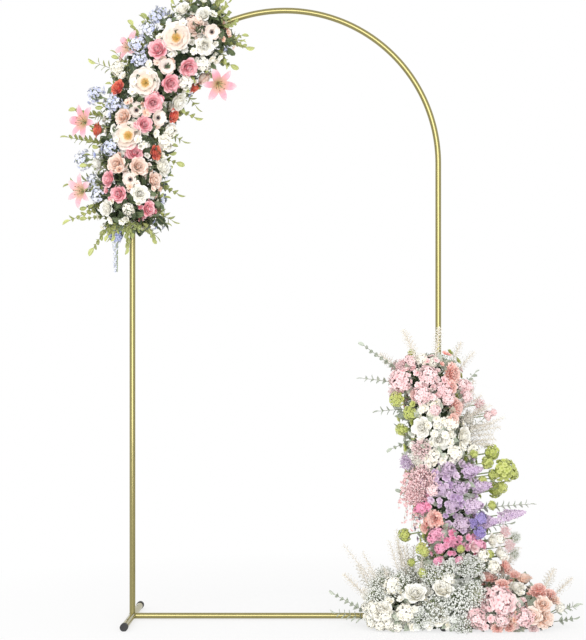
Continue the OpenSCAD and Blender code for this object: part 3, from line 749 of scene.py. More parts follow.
def rose(rng):
    """A full rose: rings of cupped petals, closer and steeper towards the bud."""
    bunch = Bunch()
    rings = [(6, 1.42, 0.62, (84, 32, 84), 0.28, 0.10), (6, 1.34, 0.58, (72, 16, 62), 0.32, 0.09),
             (5, 1.30, 0.52, (58, 2, 40), 0.38, 0.08), (5, 1.28, 0.42, (42, -6, 14), 0.45, 0.07),
             (4, 1.26, 0.34, (28, -12, -10), 0.6, 0.05), (3, 1.22, 0.24, (14, -14, -22), 0.8, 0.03)]
    for ring, (count, length, half, bend, cup, out) in enumerate(rings):
        for i in range(count):
            angle = 2 * math.pi * (i + 0.5 * (ring % 2) + 0.25 * rng.random()) / count
            start = (out * math.cos(angle), out * math.sin(angle), -0.66 + 0.02 * ring)
            bunch.petal(
                length * rng.uniform(0.94, 1.04), half, [b + rng.uniform(-5, 5) for b in bend],
                angle, start, cup, 0.02, tip=0.45, foot=0.35, phase=6 * rng.random(),
                tone=0.15 + 0.12 * ring + 0.2 * rng.random())
    for i in range(5):
        bunch.petal(0.6, 0.16, (100, 80, 60), 2 * math.pi * i / 5, (0, 0, -0.7), tip=0.15,
                    rows=3, columns=2, part=STEM)
    return bunch


def peony(rng):
    """An open peony: broad crinkled petals round a tuft of golden stamens."""
    bunch = Bunch()
    rings = [(6, 1.16, 0.66, (88, 62, 44), 0.12, 0.0), (6, 1.02, 0.58, (82, 52, 30), 0.16, 0.12),
             (5, 0.80, 0.46, (72, 38, 14), 0.22, 0.38)]
    for ring, (count, length, half, bend, cup, tone) in enumerate(rings):
        for i in range(count):
            angle = 2 * math.pi * (i + 0.5 * (ring % 2) + 0.3 * rng.random()) / count
            start = (0.1 * math.cos(angle), 0.1 * math.sin(angle), -0.5 + 0.03 * ring)
            bunch.petal(
                length * rng.uniform(0.92, 1.05), half, [b + rng.uniform(-7, 7) for b in bend],
                angle, start, cup, 0.04, tip=0.62, foot=0.3, rows=7, columns=6,
                phase=6 * rng.random(), tone=tone + 0.25 * rng.random())
    for i in range(64):
        angle, spread = i * GOLDEN_ANGLE, 0.33 * math.sqrt((i + 0.5) / 64)
        foot = np.array([0.4 * spread * math.cos(angle), 0.4 * spread * math.sin(angle), -0.5])
        end = np.array([spread * math.cos(angle), spread * math.sin(angle),
                        -0.08 - 0.5 * spread ** 2 - 0.08 * rng.random()])
        bunch.stem([foot, end], [0.010, 0.010], 3, part=HEART)
        bunch.bead(end, 0.036, part=HEART, sides=4, stretch=1.3)
    return bunch


def anemone(rng):
    """A flat open flower with rounded petals and a dark heart."""
    bunch = Bunch()
    for ring in range(2):
        for i in range(6):
            angle = 2 * math.pi * (i + 0.5 * ring + 0.15 * rng.random()) / 6
            bunch.petal(1.16 - 0.12 * ring, 0.5, [b - 12 * ring + rng.uniform(-6, 6)
                                                  for b in (84, 62, 50)],
                        angle, (0, 0, -0.2), 0.18, 0.03, tip=0.6, foot=0.35, rows=6,
                        phase=6 * rng.random(), tone=0.15 * rng.random())
    bunch.bead((0, 0, -0.04), 0.21, sides=10)
    for i in range(26):
        angle = i * 2 * math.pi / 26
        reach = 0.30 + 0.06 * (i % 2)
        end = np.array([reach * math.cos(angle), reach * math.sin(angle), 0.0])
        bunch.stem([(0, 0, -0.14), end], [0.01, 0.008], 3, part=HEART)
        bunch.bead(end, 0.03, part=HEART, sides=4)
    return bunch


def carnation(rng):
    """A frilled flower of many notched petals."""
    bunch = Bunch()
    for ring, (count, length, bend) in enumerate([(9, 1.3, (88, 60, 70)), (9, 1.2, (70, 44, 52)),
                                                  (8, 1.12, (52, 28, 34)), (7, 1.05, (34, 14, 16)),
                                                  (5, 1.0, (16, 4, 4))]):
        for i in range(count):
            angle = 2 * math.pi * (i + 0.5 * (ring % 2) + 0.4 * rng.random()) / count
            bunch.petal(length * rng.uniform(0.92, 1.05), 0.34,
                        [b + rng.uniform(-6, 6) for b in bend], angle, (0, 0, -0.62), 0.1, 0.09,
                        tip=0.8, foot=0.2, columns=5, phase=6 * rng.random(),
                        tone=0.1 + 0.15 * ring + 0.25 * rng.random(), widest=0.85)
    return bunch


def floret(rng, petals=4, round_tip=0.5, lift=0.25):
    """One small flower of a cluster, about 1 across its radius."""
    bunch = Bunch()
    tone = rng.random()
    for i in range(petals):
        angle = 2 * math.pi * (i + 0.2 * rng.random()) / petals
        bunch.petal(1.05, 0.52, (90 - 60 * lift, 90 - 40 * lift, 84 + rng.uniform(-12, 8)), angle,
                    cup=0.12, tip=round_tip, foot=0.3, rows=2, columns=2, tone=tone)
    bunch.bead((0, 0, 0.04), 0.13, sides=4)
    return bunch


def scattered(florets, rng, places, size):
    """Small flowers set at (place, direction) pairs."""
    bunch = Bunch()
    for place, direction in places:
        rows = facing(direction + rng.normal(0, 0.22, 3), ANY_TURN * rng.random())
        bunch.place(florets[rng.integers(len(florets))], place, rows,
                    size * rng.uniform(0.82, 1.15), rng.random(), 0.7)
    return bunch


def ball_places(count, rng, lowest=-0.45, spread=0.08):
    """Places and directions over a ball, from its top down to a height."""
    places = []
    for i in range(count):
        z = 1 - (1 - lowest) * (i + 0.5) / count
        angle = i * GOLDEN_ANGLE + 0.3 * rng.random()
        flat = math.sqrt(1 - z * z)
        direction = np.array([flat * math.cos(angle), flat * math.sin(angle), z])
        places.append((direction * (0.86 + rng.uniform(-spread, spread)), direction))
    return places


def hydrangea(rng):
    """A ball of four-petalled florets."""
    florets = [floret(rng) for _ in range(5)]
    bunch = scattered(florets, rng, ball_places(40, rng), 0.27)
    bunch.bead((0, 0, 0), 0.7, 0.4, PETAL, 8)
    return bunch


def snowball(rng):
    """A close ball of small rounded florets."""
    florets = [floret(rng, 5, 0.7, 0.4) for _ in range(4)]
    bunch = scattered(florets, rng, ball_places(52, rng, -0.6, 0.05), 0.21)
    bunch.bead((0, 0, 0), 0.74, 0.5, PETAL, 8)
    return bunch


def panicle(rng):
    """A blunt cone of small florets, from the middle of its foot up to 1.7."""
    florets = [floret(rng, 4, 0.35, 0.45) for _ in range(5)]
    places = []
    for i in range(72):
        height = -0.5 + 2.15 * (i + 0.5) / 72
        radius = 0.86 * math.sqrt(max(0.0, 1 - (height / 0.9) ** 2)) if height < 0 else (
            0.86 - 0.42 * height)
        angle = i * GOLDEN_ANGLE
        direction = np.array([math.cos(angle), math.sin(angle), 0.35])
        place = np.array([radius * math.cos(angle), radius * math.sin(angle), height])
        places.append((place * rng.uniform(0.9, 1.06), direction))
    bunch = scattered(florets, rng, places, 0.21)
    bunch.stem([(0, 0, -0.4), (0, 0, 0), (0, 0, 1.5)], [0.5, 0.66, 0.1], 8, 0.6, PETAL)
    return bunch


def breath_cloud(rng, stems=STEM):
    """A cloud of tiny round flowers on forked hair-thin stems."""
    bunch = Bunch()
    for place, _ in ball_places(62, rng, -0.5, 0.16):
        fork = place * 0.6
        bunch.stem([(0, 0, -0.7), fork], [0.016, 0.010], 3, 0.8, stems)
        for _ in range(5):
            end = place + rng.normal(0, 0.14, 3)
            bunch.stem([fork, end], [0.010, 0.006], 3, 0.8, stems)
            bunch.bud(end, 0.066 * rng.uniform(0.75, 1.25), rng.random())
    return bunch


def haze(rng):
    """A soft cloud whose stems have the flowers' own colour."""
    return breath_cloud(rng, PETAL)


def airy_cluster(rng):
    """A loose spray of florets on thin stems, with small leaves among them."""
    florets = [floret(rng, 5, 0.6, 0.45) for _ in range(5)]
    leaf = Bunch()
    leaf.petal(1.0, 0.2, (20, 40, 66), tip=0.1, foot=0.15, fold=0.2, rows=3, columns=2,
               part=STEM)
    bunch = Bunch()
    for number, (place, direction) in enumerate(ball_places(46, rng, -0.35, 0.26)):
        bunch.stem([(0, 0, -0.7), place * 0.5, place], [0.02, 0.014, 0.01], 3)
        rows = facing(direction + rng.normal(0, 0.3, 3), ANY_TURN * rng.random())
        bunch.place(florets[number % 5], place, rows, rng.uniform(0.17, 0.26), rng.random(), 0.8)
        if number % 3 == 0:
            bunch.place(leaf, place * 0.55, rows, 0.42, rng.random())
    return bunch


def tapered_spike(rng):
    """A slim spike of florets from the origin up to 4, widest near its foot."""
    florets = [floret(rng, 4, 0.4, 0.45) for _ in range(4)]
    places = []
    for i in range(84):
        t = (i + 0.5) / 84
        angle = i * GOLDEN_ANGLE
        direction = np.array([math.cos(angle), math.sin(angle), 0.5])
        radius = 0.95 * (1 - t) ** 0.6 * rng.uniform(0.7, 1.0)
        places.append((np.array([radius * math.cos(angle), radius * math.sin(angle), 4 * t]),
                       direction))
    bunch = scattered(florets, rng, places, 0.3)
    bunch.stem([(0, 0, -0.6), (0, 0, 3.8)], [0.07, 0.03], 5)
    return bunch


def star_lily(rng):
    """A lily with six curling pointed petals of length 1 and long stamens."""
    bunch = Bunch()
    for i in range(6):
        angle = 2 * math.pi * i / 6
        bunch.petal(1.12 * rng.uniform(0.95, 1.05), 0.19 if i % 2 else 0.24, (34, 66, 104), angle,
                    (0, 0, 0.03), cup=0.25, frill=0.015, tip=0.08, foot=0.4, rows=8, fold=-0.12,
                    phase=6 * rng.random(), tone=0.2 + 0.5 * rng.random(), widest=0.5)
        side = angle + 0.5
        end = np.array([0.26 * math.cos(side), 0.26 * math.sin(side), 0.62])
        bunch.stem([(0, 0, 0.05), 0.45 * end, end], [0.014, 0.012, 0.01], 3)
        bunch.bead(end, 0.022, part=HEART, stretch=2.6, direction=(-math.sin(side),
                                                                   math.cos(side), 0.2))
    bunch.stem([(0, 0, 0.05), (0, 0, 0.4), (0.02, 0, 0.74)], [0.02, 0.016, 0.02], 4)
    bunch.stem([(0, 0, -0.12), (0, 0, 0.06)], [0.03, 0.09], 6)
    return bunch


def leafy_sprig(length, rng, leaf, pointed=True):
    """A sprig of leaves in pairs with a leaf at its tip, upright from the origin."""
    bunch = Bunch()
    sway = rng.uniform(-0.06, 0.06, 2)
    heights = np.linspace(0, length, 7)
    share = heights / length
    path = np.stack([sway[0] * length * share ** 2, sway[1] * length * share ** 2, heights], -1)
    bunch.stem(path, 0.0014 - 0.0007 * share, 5)
    pairs = max(1, int((length - 0.01) / 0.019))
    tip = 0.1 if pointed else 0.6
    for i in range(pairs):
        height = 0.012 + (length - 0.02) * (i + 0.5) / pairs
        start = [np.interp(height, heights, path[:, k]) for k in range(3)]
        grown = leaf * (1.05 - 0.45 * height / length) * rng.uniform(0.9, 1.1)
        for side in (0, math.pi):
            bunch.petal(grown, 0.27 * grown if pointed else 0.36 * grown,
                        (46 + rng.uniform(-8, 8), 58, 70), side + 0.25 * rng.normal(), start,
                        cup=0.1, tip=tip, foot=0.15, fold=0.22, rows=5, tone=rng.random(),
                        widest=0.45)
    bunch.petal(0.85 * leaf, 0.24 * leaf, (8, 12, 24), rng.random(), path[-1] - (0, 0, 0.003),
                tip=tip, foot=0.15, fold=0.2, tone=0.3 * rng.random(), widest=0.45)
    return bunch


def feather(length, rng, fullness=1.0):
    """A feathery plume, upright from the origin: a stalk with drooping threads and beads."""
    bunch = Bunch()
    sway = rng.uniform(-0.08, 0.08, 2)
    heights = np.linspace(0, length, 8)
    share = heights / length
    path = np.stack([sway[0] * length * share ** 2, sway[1] * length * share ** 2, heights], -1)
    bunch.stem(path, 0.0011 - 0.0007 * share, 5, 0.8, PETAL)
    for i in range(int(150 * fullness)):
        t = 0.25 + 0.75 * i / (150 * fullness)
        start = np.array([np.interp(t * length, heights, path[:, k]) for k in range(3)])
        reach = 0.017 * math.sin(math.pi * min(1, (t - 0.2) / 0.84)) ** 0.7 + 0.004
        angle = i * GOLDEN_ANGLE
        bunch.petal(reach * rng.uniform(0.8, 1.25), 0.0017, (38, 62, 96), angle, start, tip=0.5,
                    foot=0.5, rows=3, columns=1, cup=0, tone=rng.random())
        if i % 2:
            end = start + reach * np.array([0.8 * math.cos(angle), 0.8 * math.sin(angle), 0.35])
            bunch.bead(end, 0.0017, rng.random(), PETAL, 4)
    return bunch


def small_bloom(rng):
    """A small simple flower with five petals, for between the heads."""
    bunch = Bunch()
    for i in range(5):
        bunch.petal(1.1, 0.55, (80, 60, 74 + rng.uniform(-14, 10)), 2 * math.pi * i / 5, cup=0.2,
                    tip=0.6, rows=2, columns=2, tone=0.3 * rng.random())
    for i in range(4):
        bunch.petal(0.75, 0.34, (50, 24, 40), 2 * math.pi * (i + 0.5) / 4, cup=0.3, tip=0.6,
                    rows=2, columns=2, tone=0.3 + 0.3 * rng.random())
    bunch.bead((0, 0, 0.1), 0.14, sides=4)
    return bunch


def spray_rose(rng):
    """A small rose of three rings, for between the heads."""
    bunch = Bunch()
    for ring, (count, length, half, bend) in enumerate([(5, 1.3, 0.6, (80, 24, 70)),
                                                        (4, 1.2, 0.46, (54, 2, 34)),
                                                        (3, 1.1, 0.3, (26, -8, 0))]):
        for i in range(count):
            angle = 2 * math.pi * (i + 0.5 * ring + 0.25 * rng.random()) / count
            bunch.petal(length, half, [b + rng.uniform(-5, 5) for b in bend], angle,
                        (0, 0, -0.6), 0.35, tip=0.45, foot=0.35, rows=4, columns=2,
                        tone=0.1 + 0.25 * ring + 0.2 * rng.random())
    return bunch


# Where the CAD model carries each flower

def solids_of(node):
    """The separate solids of a CAD node, each as an array of its points, in a steady order."""
    mesh = NODES[node].data
    mesh.calc_loop_triangles()
    raw = np.zeros(len(mesh.vertices) * 3)
    mesh.vertices.foreach_get("co", raw)
    corners = np.zeros(len(mesh.loop_triangles) * 3, np.int64)
    mesh.loop_triangles.foreach_get("vertices", corners)
    points, welded = np.unique(np.round(raw.reshape(-1, 3), 5), axis=0, return_inverse=True)
    sides = welded.ravel()[corners].reshape(-1, 3)
    ends = np.concatenate([sides[:, :2], sides[:, 1:]])
    label = np.arange(len(points))
    while True:
        lowest = np.minimum(label[ends[:, 0]], label[ends[:, 1]])
        before = label.copy()
        np.minimum.at(label, ends[:, 0], lowest)
        np.minimum.at(label, ends[:, 1], lowest)
        label = label[label]
        if (label == before).all():
            break
    solids = [points[label == number] for number in np.unique(label)]
    return sorted(solids, key=lambda s: tuple(np.round(s.mean(0), 3)))


def core_place(core, s, turn):
    """A core's middle, outward direction and lengthwise direction at a distance s along it.
    The turn is 0 at the front."""
    plan = layout()
    if core == "swag":
        bend = max(0.0, s) / plan.arch_radius
        rise = s if s < 0 else plan.arch_radius * math.sin(bend)
        middle = np.array([-plan.arch_radius * math.cos(bend), -plan.swag_forward,
                           plan.spring_height + rise])
        along = np.array([math.sin(bend), 0, math.cos(bend)])
        aside = np.array([-math.cos(bend), 0, math.sin(bend)])
    elif core == "column":
        foot, top = np.array(plan.column_foot), np.array(plan.column_top)
        along = (top - foot) / np.linalg.norm(top - foot)
        aside = np.array([along[2], 0, -along[0]])
        middle = foot + s * along
    else:
        along, aside = np.array([1.0, 0, 0]), np.array([0, 0, 1.0])
        middle = np.array([s, -plan.log_forward, 0])
    middle = middle + (plan.arch_x, plan.arch_y, 0)
    out = math.cos(turn) * np.array([0, -1.0, 0]) + math.sin(turn) * aside
    return middle, out, along


def core_span(core):
    """First and last distance along a core, and its radius."""
    plan = layout()
    if core == "swag":
        return plan.swag_low, plan.swag_high, plan.swag_radius
    if core == "column":
        return 0.0, math.dist(plan.column_foot, plan.column_top), plan.column_radius
    return plan.log_left, plan.log_right, plan.log_radius


def core_spread(core):
    """How much further out a core's flowers stand at a quarter turn than at the front."""
    plan = layout()
    return {"swag": plan.swag_spread, "column": plan.column_spread, "log": plan.log_spread}[core]


def core_line(core):
    """Stations along a core, and its middle at each."""
    if core not in core_lines:
        first, last, _ = core_span(core)
        stations = np.linspace(first, last, 240)
        core_lines[core] = stations, np.array([core_place(core, s, 0)[0] for s in stations])
    return core_lines[core]


def nearest_core(points, cores):
    """The core whose face is nearest to any of the points, the place along it, its middle there,
    and the foot of the points on it."""
    best = None
    for core in cores:
        stations, middles = core_line(core)
        gaps = np.linalg.norm(points[:, None] - middles[None], axis=2) - core_span(core)[2]
        if best is None or gaps.min() < best[0]:
            station = gaps.min(0).argmin()
            foot = points[gaps.min(1) < gaps.min() + FOOT_BAND].mean(0)
            best = (gaps.min(), core, stations[station], middles[station], foot)
    return best[1:]


def head_places(node, cores, top_share):
    """Foot, middle, outward direction and radius of each flower head of a CAD node. top_share is
    how far the solid's top lies above its middle, as a share of its radius."""
    places = []
    for points in solids_of(node):
        core, s, _, foot = nearest_core(points, cores)
        out = points.mean(0) - foot
        out /= np.linalg.norm(out)
        heights = (points - foot) @ out
        radius = np.linalg.norm(points - foot - np.outer(heights, out), axis=1).max()
        centre = foot + out * (heights.max() - top_share * radius)
        places.append((foot, centre, out, radius))
        flower_heads[core].append((centre, radius, node, s))
    return places


def stalk_places(node, cores):
    """Foot, direction, sideways direction and length of each long solid of a CAD node."""
    places = []
    for points in solids_of(node):
        middle = points.mean(0)
        _, _, axes = np.linalg.svd(points - middle, full_matrices=False)
        ahead, aside = axes[0], axes[1]
        spans = (points - middle) @ ahead
        ends = [middle + ahead * spans.min(), middle + ahead * spans.max()]
        gaps = []
        for end in ends:
            gaps.append(np.linalg.norm(end - nearest_core(end[None], cores)[2]))
        if gaps[0] > gaps[1]:
            ends.reverse()
            ahead = -ahead
        places.append((ends[0], ahead, aside, spans.max() - spans.min()))
    return places


def dice(label):
    """Random numbers that are the same each run, apart for each label."""
    number = sum((i + 1) * ord(letter) for i, letter in enumerate(label))
    return np.random.default_rng(number * 31 + blooms().seed)


def bloom_piece(node, kinds, slot, cores, top_share, growth=1.0):
    """Replaces a node's heads with flowers. kinds are dealt in turn, each as its maker and its
    lowest and highest tone."""
    rng = dice(node)
    variants = [(maker(rng), low, high) for maker, low, high in kinds for _ in range(2)]
    bunch = Bunch()
    for number, (foot, centre, out, radius) in enumerate(head_places(node, cores, top_share)):
        flower, low, high = variants[number % len(variants)]
        bunch.place(flower, centre, facing(out + rng.normal(0, 0.08, 3), ANY_TURN * rng.random()),
                    radius * blooms().head_growth * growth, rng.uniform(low, high), 0.5)
        bunch.stem([foot - 0.002 * out, centre - 0.5 * radius * out], [0.0022, 0.0022], 6)
    return bunch.to_piece(node.replace("_", "_dressed_", 1), petal_material(slot), slot, [node])


# Operators

class ARCH_OT_frame_finish(bpy.types.Operator):
    """Give the tubes their golden lacquer, the caps their rubber and the ties their weave"""

    bl_idname = "arch.frame_finish"
    bl_label = "Finish Frame"

    def execute(self, context):
        settings = finishes()
        lacquer = lacquer_material()
        rubber = surface(
            "cap_rubber", "Handling Wear",
            {"Base": (*settings.rubber, 1), "Shade": (0.07, 0.068, 0.064, 1),
             "Blotch Scale": 40.0, "Speckle Scale": 900.0, "Amount": 0.5, "Smooth": 0.55,
             "Rough": 0.75}, 0.00012)
        strap = surface(
            "strap_weave", "Handling Wear",
            {"Base": (*settings.strap, 1), "Shade": (0.03, 0.05, 0.02, 1),
             "Blotch Scale": 60.0, "Speckle Scale": 1400.0, "Amount": 0.7, "Smooth": 0.4,
             "Rough": 0.6}, 0.0002, sheen=0.2)
        finish = {name: lacquer for name in GOLD_NODES}
        finish.update({name: rubber for name in CAP_NODES})
        finish.update({"swag_ties": strap, "spray_ties": strap})
        for name, material in finish.items():
            mesh = NODES[name].data
            mesh.materials.clear()
            mesh.materials.append(material)
        return {"FINISHED"}


class ARCH_OT_weld_beads(bpy.types.Operator):
    """Run a rippled weld bead round each stub where it meets its foot bar"""

    bl_idname = "arch.weld_beads"
    bl_label = "Weld Beads"

    def execute(self, context):
        plan = layout()
        bunch = Bunch()
        turns = np.linspace(0, 2 * np.pi, 97)
        for side in (-1, 1):
            middle = np.array([plan.arch_x + side * plan.arch_radius, plan.arch_y,
                               plan.foot_height])
            for ahead in (np.array([0, 0, 1.0]), np.array([-side, 0, 0])):
                across = np.cross([0, 1.0, 0], ahead)
                wide = plan.tube_radius * np.cos(turns)
                deep = plan.tube_radius * np.sin(turns)
                rise = np.sqrt(plan.foot_radius ** 2 - wide ** 2)
                path = (middle + np.outer(wide, across) + np.outer(deep, [0, 1.0, 0])
                        + np.outer(rise, ahead))
                ripple = 0.0015 + 0.0003 * np.sin(24 * turns)
                bunch.stem(path, ripple, 8, part=PETAL)
        bunch.to_piece("weld_beads", lacquer_material(), "gold_tube")
        return {"FINISHED"}


class ARCH_OT_foam_cores(bpy.types.Operator):
    """Turn the foam cores into pitted foam"""

    bl_idname = "arch.foam_cores"
    bl_label = "Foam Cores"

    def execute(self, context):
        settings = finishes()
        # The foam colour is partly painted shade for the gaps between the flowers, as well as its
        # own green
        foam = surface(
            "pitted_foam", "Handling Wear",
            {"Base": (*settings.foam, 1), "Shade": (0.015, 0.025, 0.012, 1),
             "Blotch Scale": 55.0, "Speckle Scale": 420.0, "Amount": 0.9, "Smooth": 0.8,
             "Rough": 0.95}, 0.0016)
        for node in ("swag_base", "spray_log", "spray_column"):
            mesh = NODES[node].data.copy()
            piece = bpy.data.objects.new(node + "_foam", mesh)
            context.scene.collection.objects.link(piece)
            remesh = piece.modifiers.new("even", "REMESH")
            remesh.mode = "VOXEL"
            remesh.voxel_size = 0.009
            remesh.use_smooth_shade = True
            pits = bpy.data.textures.new(node + "_pits", "CLOUDS")
            pits.noise_scale = 0.012
            dent = piece.modifiers.new("pits", "DISPLACE")
            dent.texture = pits
            dent.texture_coords = "LOCAL"
            dent.strength = 0.004
            dent.mid_level = 1.0
            final = bpy.data.meshes.new_from_object(
                piece.evaluated_get(context.evaluated_depsgraph_get()))
            piece.modifiers.clear()
            piece.data = final
            final.materials.clear()
            final.materials.append(foam)
            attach(piece, "root")
            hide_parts(node)
        return {"FINISHED"}


class ARCH_OT_roses(bpy.types.Operator):
    """Model the roses, peonies, anemones and carnations"""

    bl_idname = "arch.roses"
    bl_label = "Roses And Peonies"

    def execute(self, context):
        spray = ["column", "log"]
        bloom_piece("swag_peonies", [(peony, 0, 0.3)], "blush_petal", ["swag"], 0.25)
        bloom_piece("swag_pink_roses", [(rose, 0.1, 0.9)], "pink_petal", ["swag"], 0.8)
        bloom_piece("swag_blush_roses", [(rose, 0.4, 1.0), (anemone, 0, 0.1)], "peach_petal",
                    ["swag"], 0.8, 1.08)
        bloom_piece("swag_red_roses", [(rose, 0.1, 0.8)], "red_petal", ["swag"], 0.8)
        bloom_piece("swag_white_roses", [(rose, 0, 0.6), (hydrangea, 0, 1.0)], "white_petal",
                    ["swag"], 0.8, 1.06)
        bloom_piece("spray_white_roses", [(rose, 0, 0.6), (hydrangea, 0, 1.0)], "white_petal",
                    spray, 0.8, 1.06)
        bloom_piece("spray_coral_carnations", [(carnation, 0, 0.8)], "coral_petal", spray, 0.8)
        bloom_piece("spray_peach_roses", [(rose, 0.3, 1.0), (carnation, 0.1, 0.6)],
                    "peach_petal", spray, 0.8)
        return {"FINISHED"}


class ARCH_OT_clusters(bpy.types.Operator):
    """Model the hydrangeas, snowballs, delphiniums, lilacs, stocks and baby's breath"""

    bl_idname = "arch.clusters"
    bl_label = "Clusters And Panicles"

    def execute(self, context):
        spray = ["column", "log"]
        bloom_piece("swag_blue_clusters", [(airy_cluster, 0, 0.6)], "blue_petal", ["swag"], 1.0,
                    1.2)
        bloom_piece("spray_pink_hydrangeas", [(hydrangea, 0, 1.0)], "pale_pink_petal", spray,
                    1.0, 1.08)
        bloom_piece("spray_lime_balls", [(snowball, 0, 0.8)], "lime_petal", spray, 1.0)
        bloom_piece("spray_lilacs", [(panicle, 0, 0.6)], "lilac_petal", spray, 1.65, 1.05)
        bloom_piece("spray_magenta_stocks", [(panicle, 0, 1.0)], "magenta_petal", spray, 1.65,
                    1.05)
        bloom_piece("spray_baby_breath", [(breath_cloud, 0, 0.5)], "breath_petal", spray, 1.0,
                    1.25)
        return {"FINISHED"}


class ARCH_OT_lilies(bpy.types.Operator):
    """Model the star lilies that reach out of the swag"""

    bl_idname = "arch.lilies"
    bl_label = "Star Lilies"

    def execute(self, context):
        rng = dice("lilies")
        bunch = Bunch()
        for points in solids_of("swag_lilies"):
            _, _, middle, foot = nearest_core(points, ["swag"])
            out = foot - middle
            out /= np.linalg.norm(out)
            heights = (points - foot) @ out
            aside = np.linalg.norm(points - foot - np.outer(heights, out), axis=1)
            top = foot + out * heights[aside < 0.0026].max()
            petal = np.linalg.norm(points - top, axis=1)[heights > 0.01].max()
            face = (math.cos(layout().lily_face) * out
                    + math.sin(layout().lily_face) * np.array([0, -1.0, 0]))
            bunch.place(star_lily(rng), top, facing(face, ANY_TURN * rng.random()), petal * 1.2,
                        rng.random())
            bunch.stem([foot - 0.002 * out, foot + 0.6 * (top - foot), top], [0.0022] * 3, 6)
        bunch.to_piece("swag_star_lilies", petal_material("lily_petal"), "lily_petal",
                       ["swag_lilies"])
        return {"FINISHED"}


class ARCH_OT_sprigs(bpy.types.Operator):
    """Model the leaf sprigs and the grass plumes that reach out of both flower pieces"""

    bl_idname = "arch.sprigs"
    bl_label = "Sprigs And Plumes"

    def execute(self, context):
        spray = ["column", "log"]
        for node, kind, cores, pointed in (("swag_leaf_sprigs", "leaf", ["swag"], True),
                                           ("spray_leaf_sprigs", "grey_leaf", spray, False)):
            rng = dice(node)
            bunch = Bunch()
            for foot, ahead, aside, length in stalk_places(node, cores):
                rows = np.array([aside, np.cross(ahead, aside), ahead])
                sprig = leafy_sprig(length - 0.02, rng, 0.036 if pointed else 0.026, pointed)
                bunch.place(sprig, foot - 0.004 * ahead, rows, 1.0, rng.random())
            bunch.to_piece(node.replace("_leaf_", "_modelled_"), leaf_material(kind), kind, [node])
        rng = dice("plumes")
        bunch = Bunch()
        for foot, ahead, aside, length in stalk_places("spray_grass_plumes", spray):
            rows = np.array([aside, np.cross(ahead, aside), ahead])
            bunch.place(feather(length, rng, 0.6), foot - 0.004 * ahead, rows, 1.0, rng.random())
        bunch.to_piece("spray_feather_plumes", petal_material("plume"), "plume",
                       ["spray_grass_plumes"])
        return {"FINISHED"}


class ARCH_OT_hanging_flowers(bpy.types.Operator):
    """Model the blue spike under the swag and the pink tail at the spray's left side"""

    bl_idname = "arch.hanging_flowers"
    bl_label = "Hanging Flowers"

    def execute(self, context):
        rng = dice("hanging")
        florets = [floret(rng, 4, 0.5, 0.5) for _ in range(5)]
        foot, ahead, _, length = stalk_places("swag_hanging_spike", ["swag"])[0]
        bunch = Bunch()
        bunch.stem([foot - 0.01 * ahead, foot + 0.5 * length * ahead, foot + 0.98 * length * ahead],
                   [0.0018, 0.0014, 0.0006], 6)
        around = facing(ahead)
        for i in range(210):
            t = (i + 0.5) / 210
            angle = i * GOLDEN_ANGLE
            radius = 0.002 + 0.019 * max(0.0, 1 - 2.4 * t) ** 0.5 * rng.uniform(0.6, 1.0) + (
                0.011 * rng.random() * (1.25 - t))
            out = around[0] * math.cos(angle) + around[1] * math.sin(angle)
            stem = foot + ahead * length * (0.05 + 0.93 * t)
            place = stem + out * radius - np.array([0.007 * min(1.0, 6 * t), 0, 0])
            bunch.stem([stem - 0.003 * ahead, place], [0.0004, 0.0003], 3, part=STEM)
            if t < 0.34 or i % 2:
                rows = facing(out + 0.4 * ahead, ANY_TURN * rng.random())
                bunch.place(florets[i % 5], place, rows, 0.0082 if t < 0.34 else 0.0036,
                            1.0 if t < 0.34 else 0.3, 0.85)
        bunch.to_piece("swag_blue_spike", petal_material("blue_petal"), "blue_petal",
                       ["swag_hanging_spike"])
        middle, out, _ = core_place("column", 0.440, math.radians(-72))
        top = middle + out * (layout().column_radius + 0.034)
        bunch = Bunch()
        bunch.stem([middle + out * (layout().column_radius - 0.002), top], [0.0025, 0.0025], 6)
        for strand in range(44):
            t = rng.random()
            start = top + np.array([0.034 + 0.030 * rng.normal(), -0.015 * rng.random(),
                                    0.026 * t])
            drop = (0.205 if strand % 3 == 0 else 0.12) * rng.uniform(0.75, 1.0)
            drift = np.array([-0.022 - 0.02 * rng.random(), 0.012 * rng.normal(), 0])
            path = [start + drift * u ** 0.6 - np.array([0, 0, drop]) * u
                    for u in np.linspace(0, 1, 6)]
            bunch.stem([top - 0.01 * out, *path], [0.0007, *np.linspace(0.0007, 0.0003, 6)], 3)
            for i in range(13):
                u = (i + rng.random()) / 13
                place = np.array([np.interp(u * 5, range(6), [q[k] for q in path])
                                  for k in range(3)]) + rng.normal(0, 0.0035, 3)
                bunch.place(florets[i % 5], place, facing(rng.normal(0, 1, 3) - (0, 1.0, 0.4)),
                            0.0072 * (1.15 - 0.5 * u), 0.35 + 0.6 * rng.random(), 0.8)
        bunch.to_piece("spray_pink_tail", petal_material("pale_pink_petal"), "pale_pink_petal",
                       ["spray_pink_drape"])
        return {"FINISHED"}


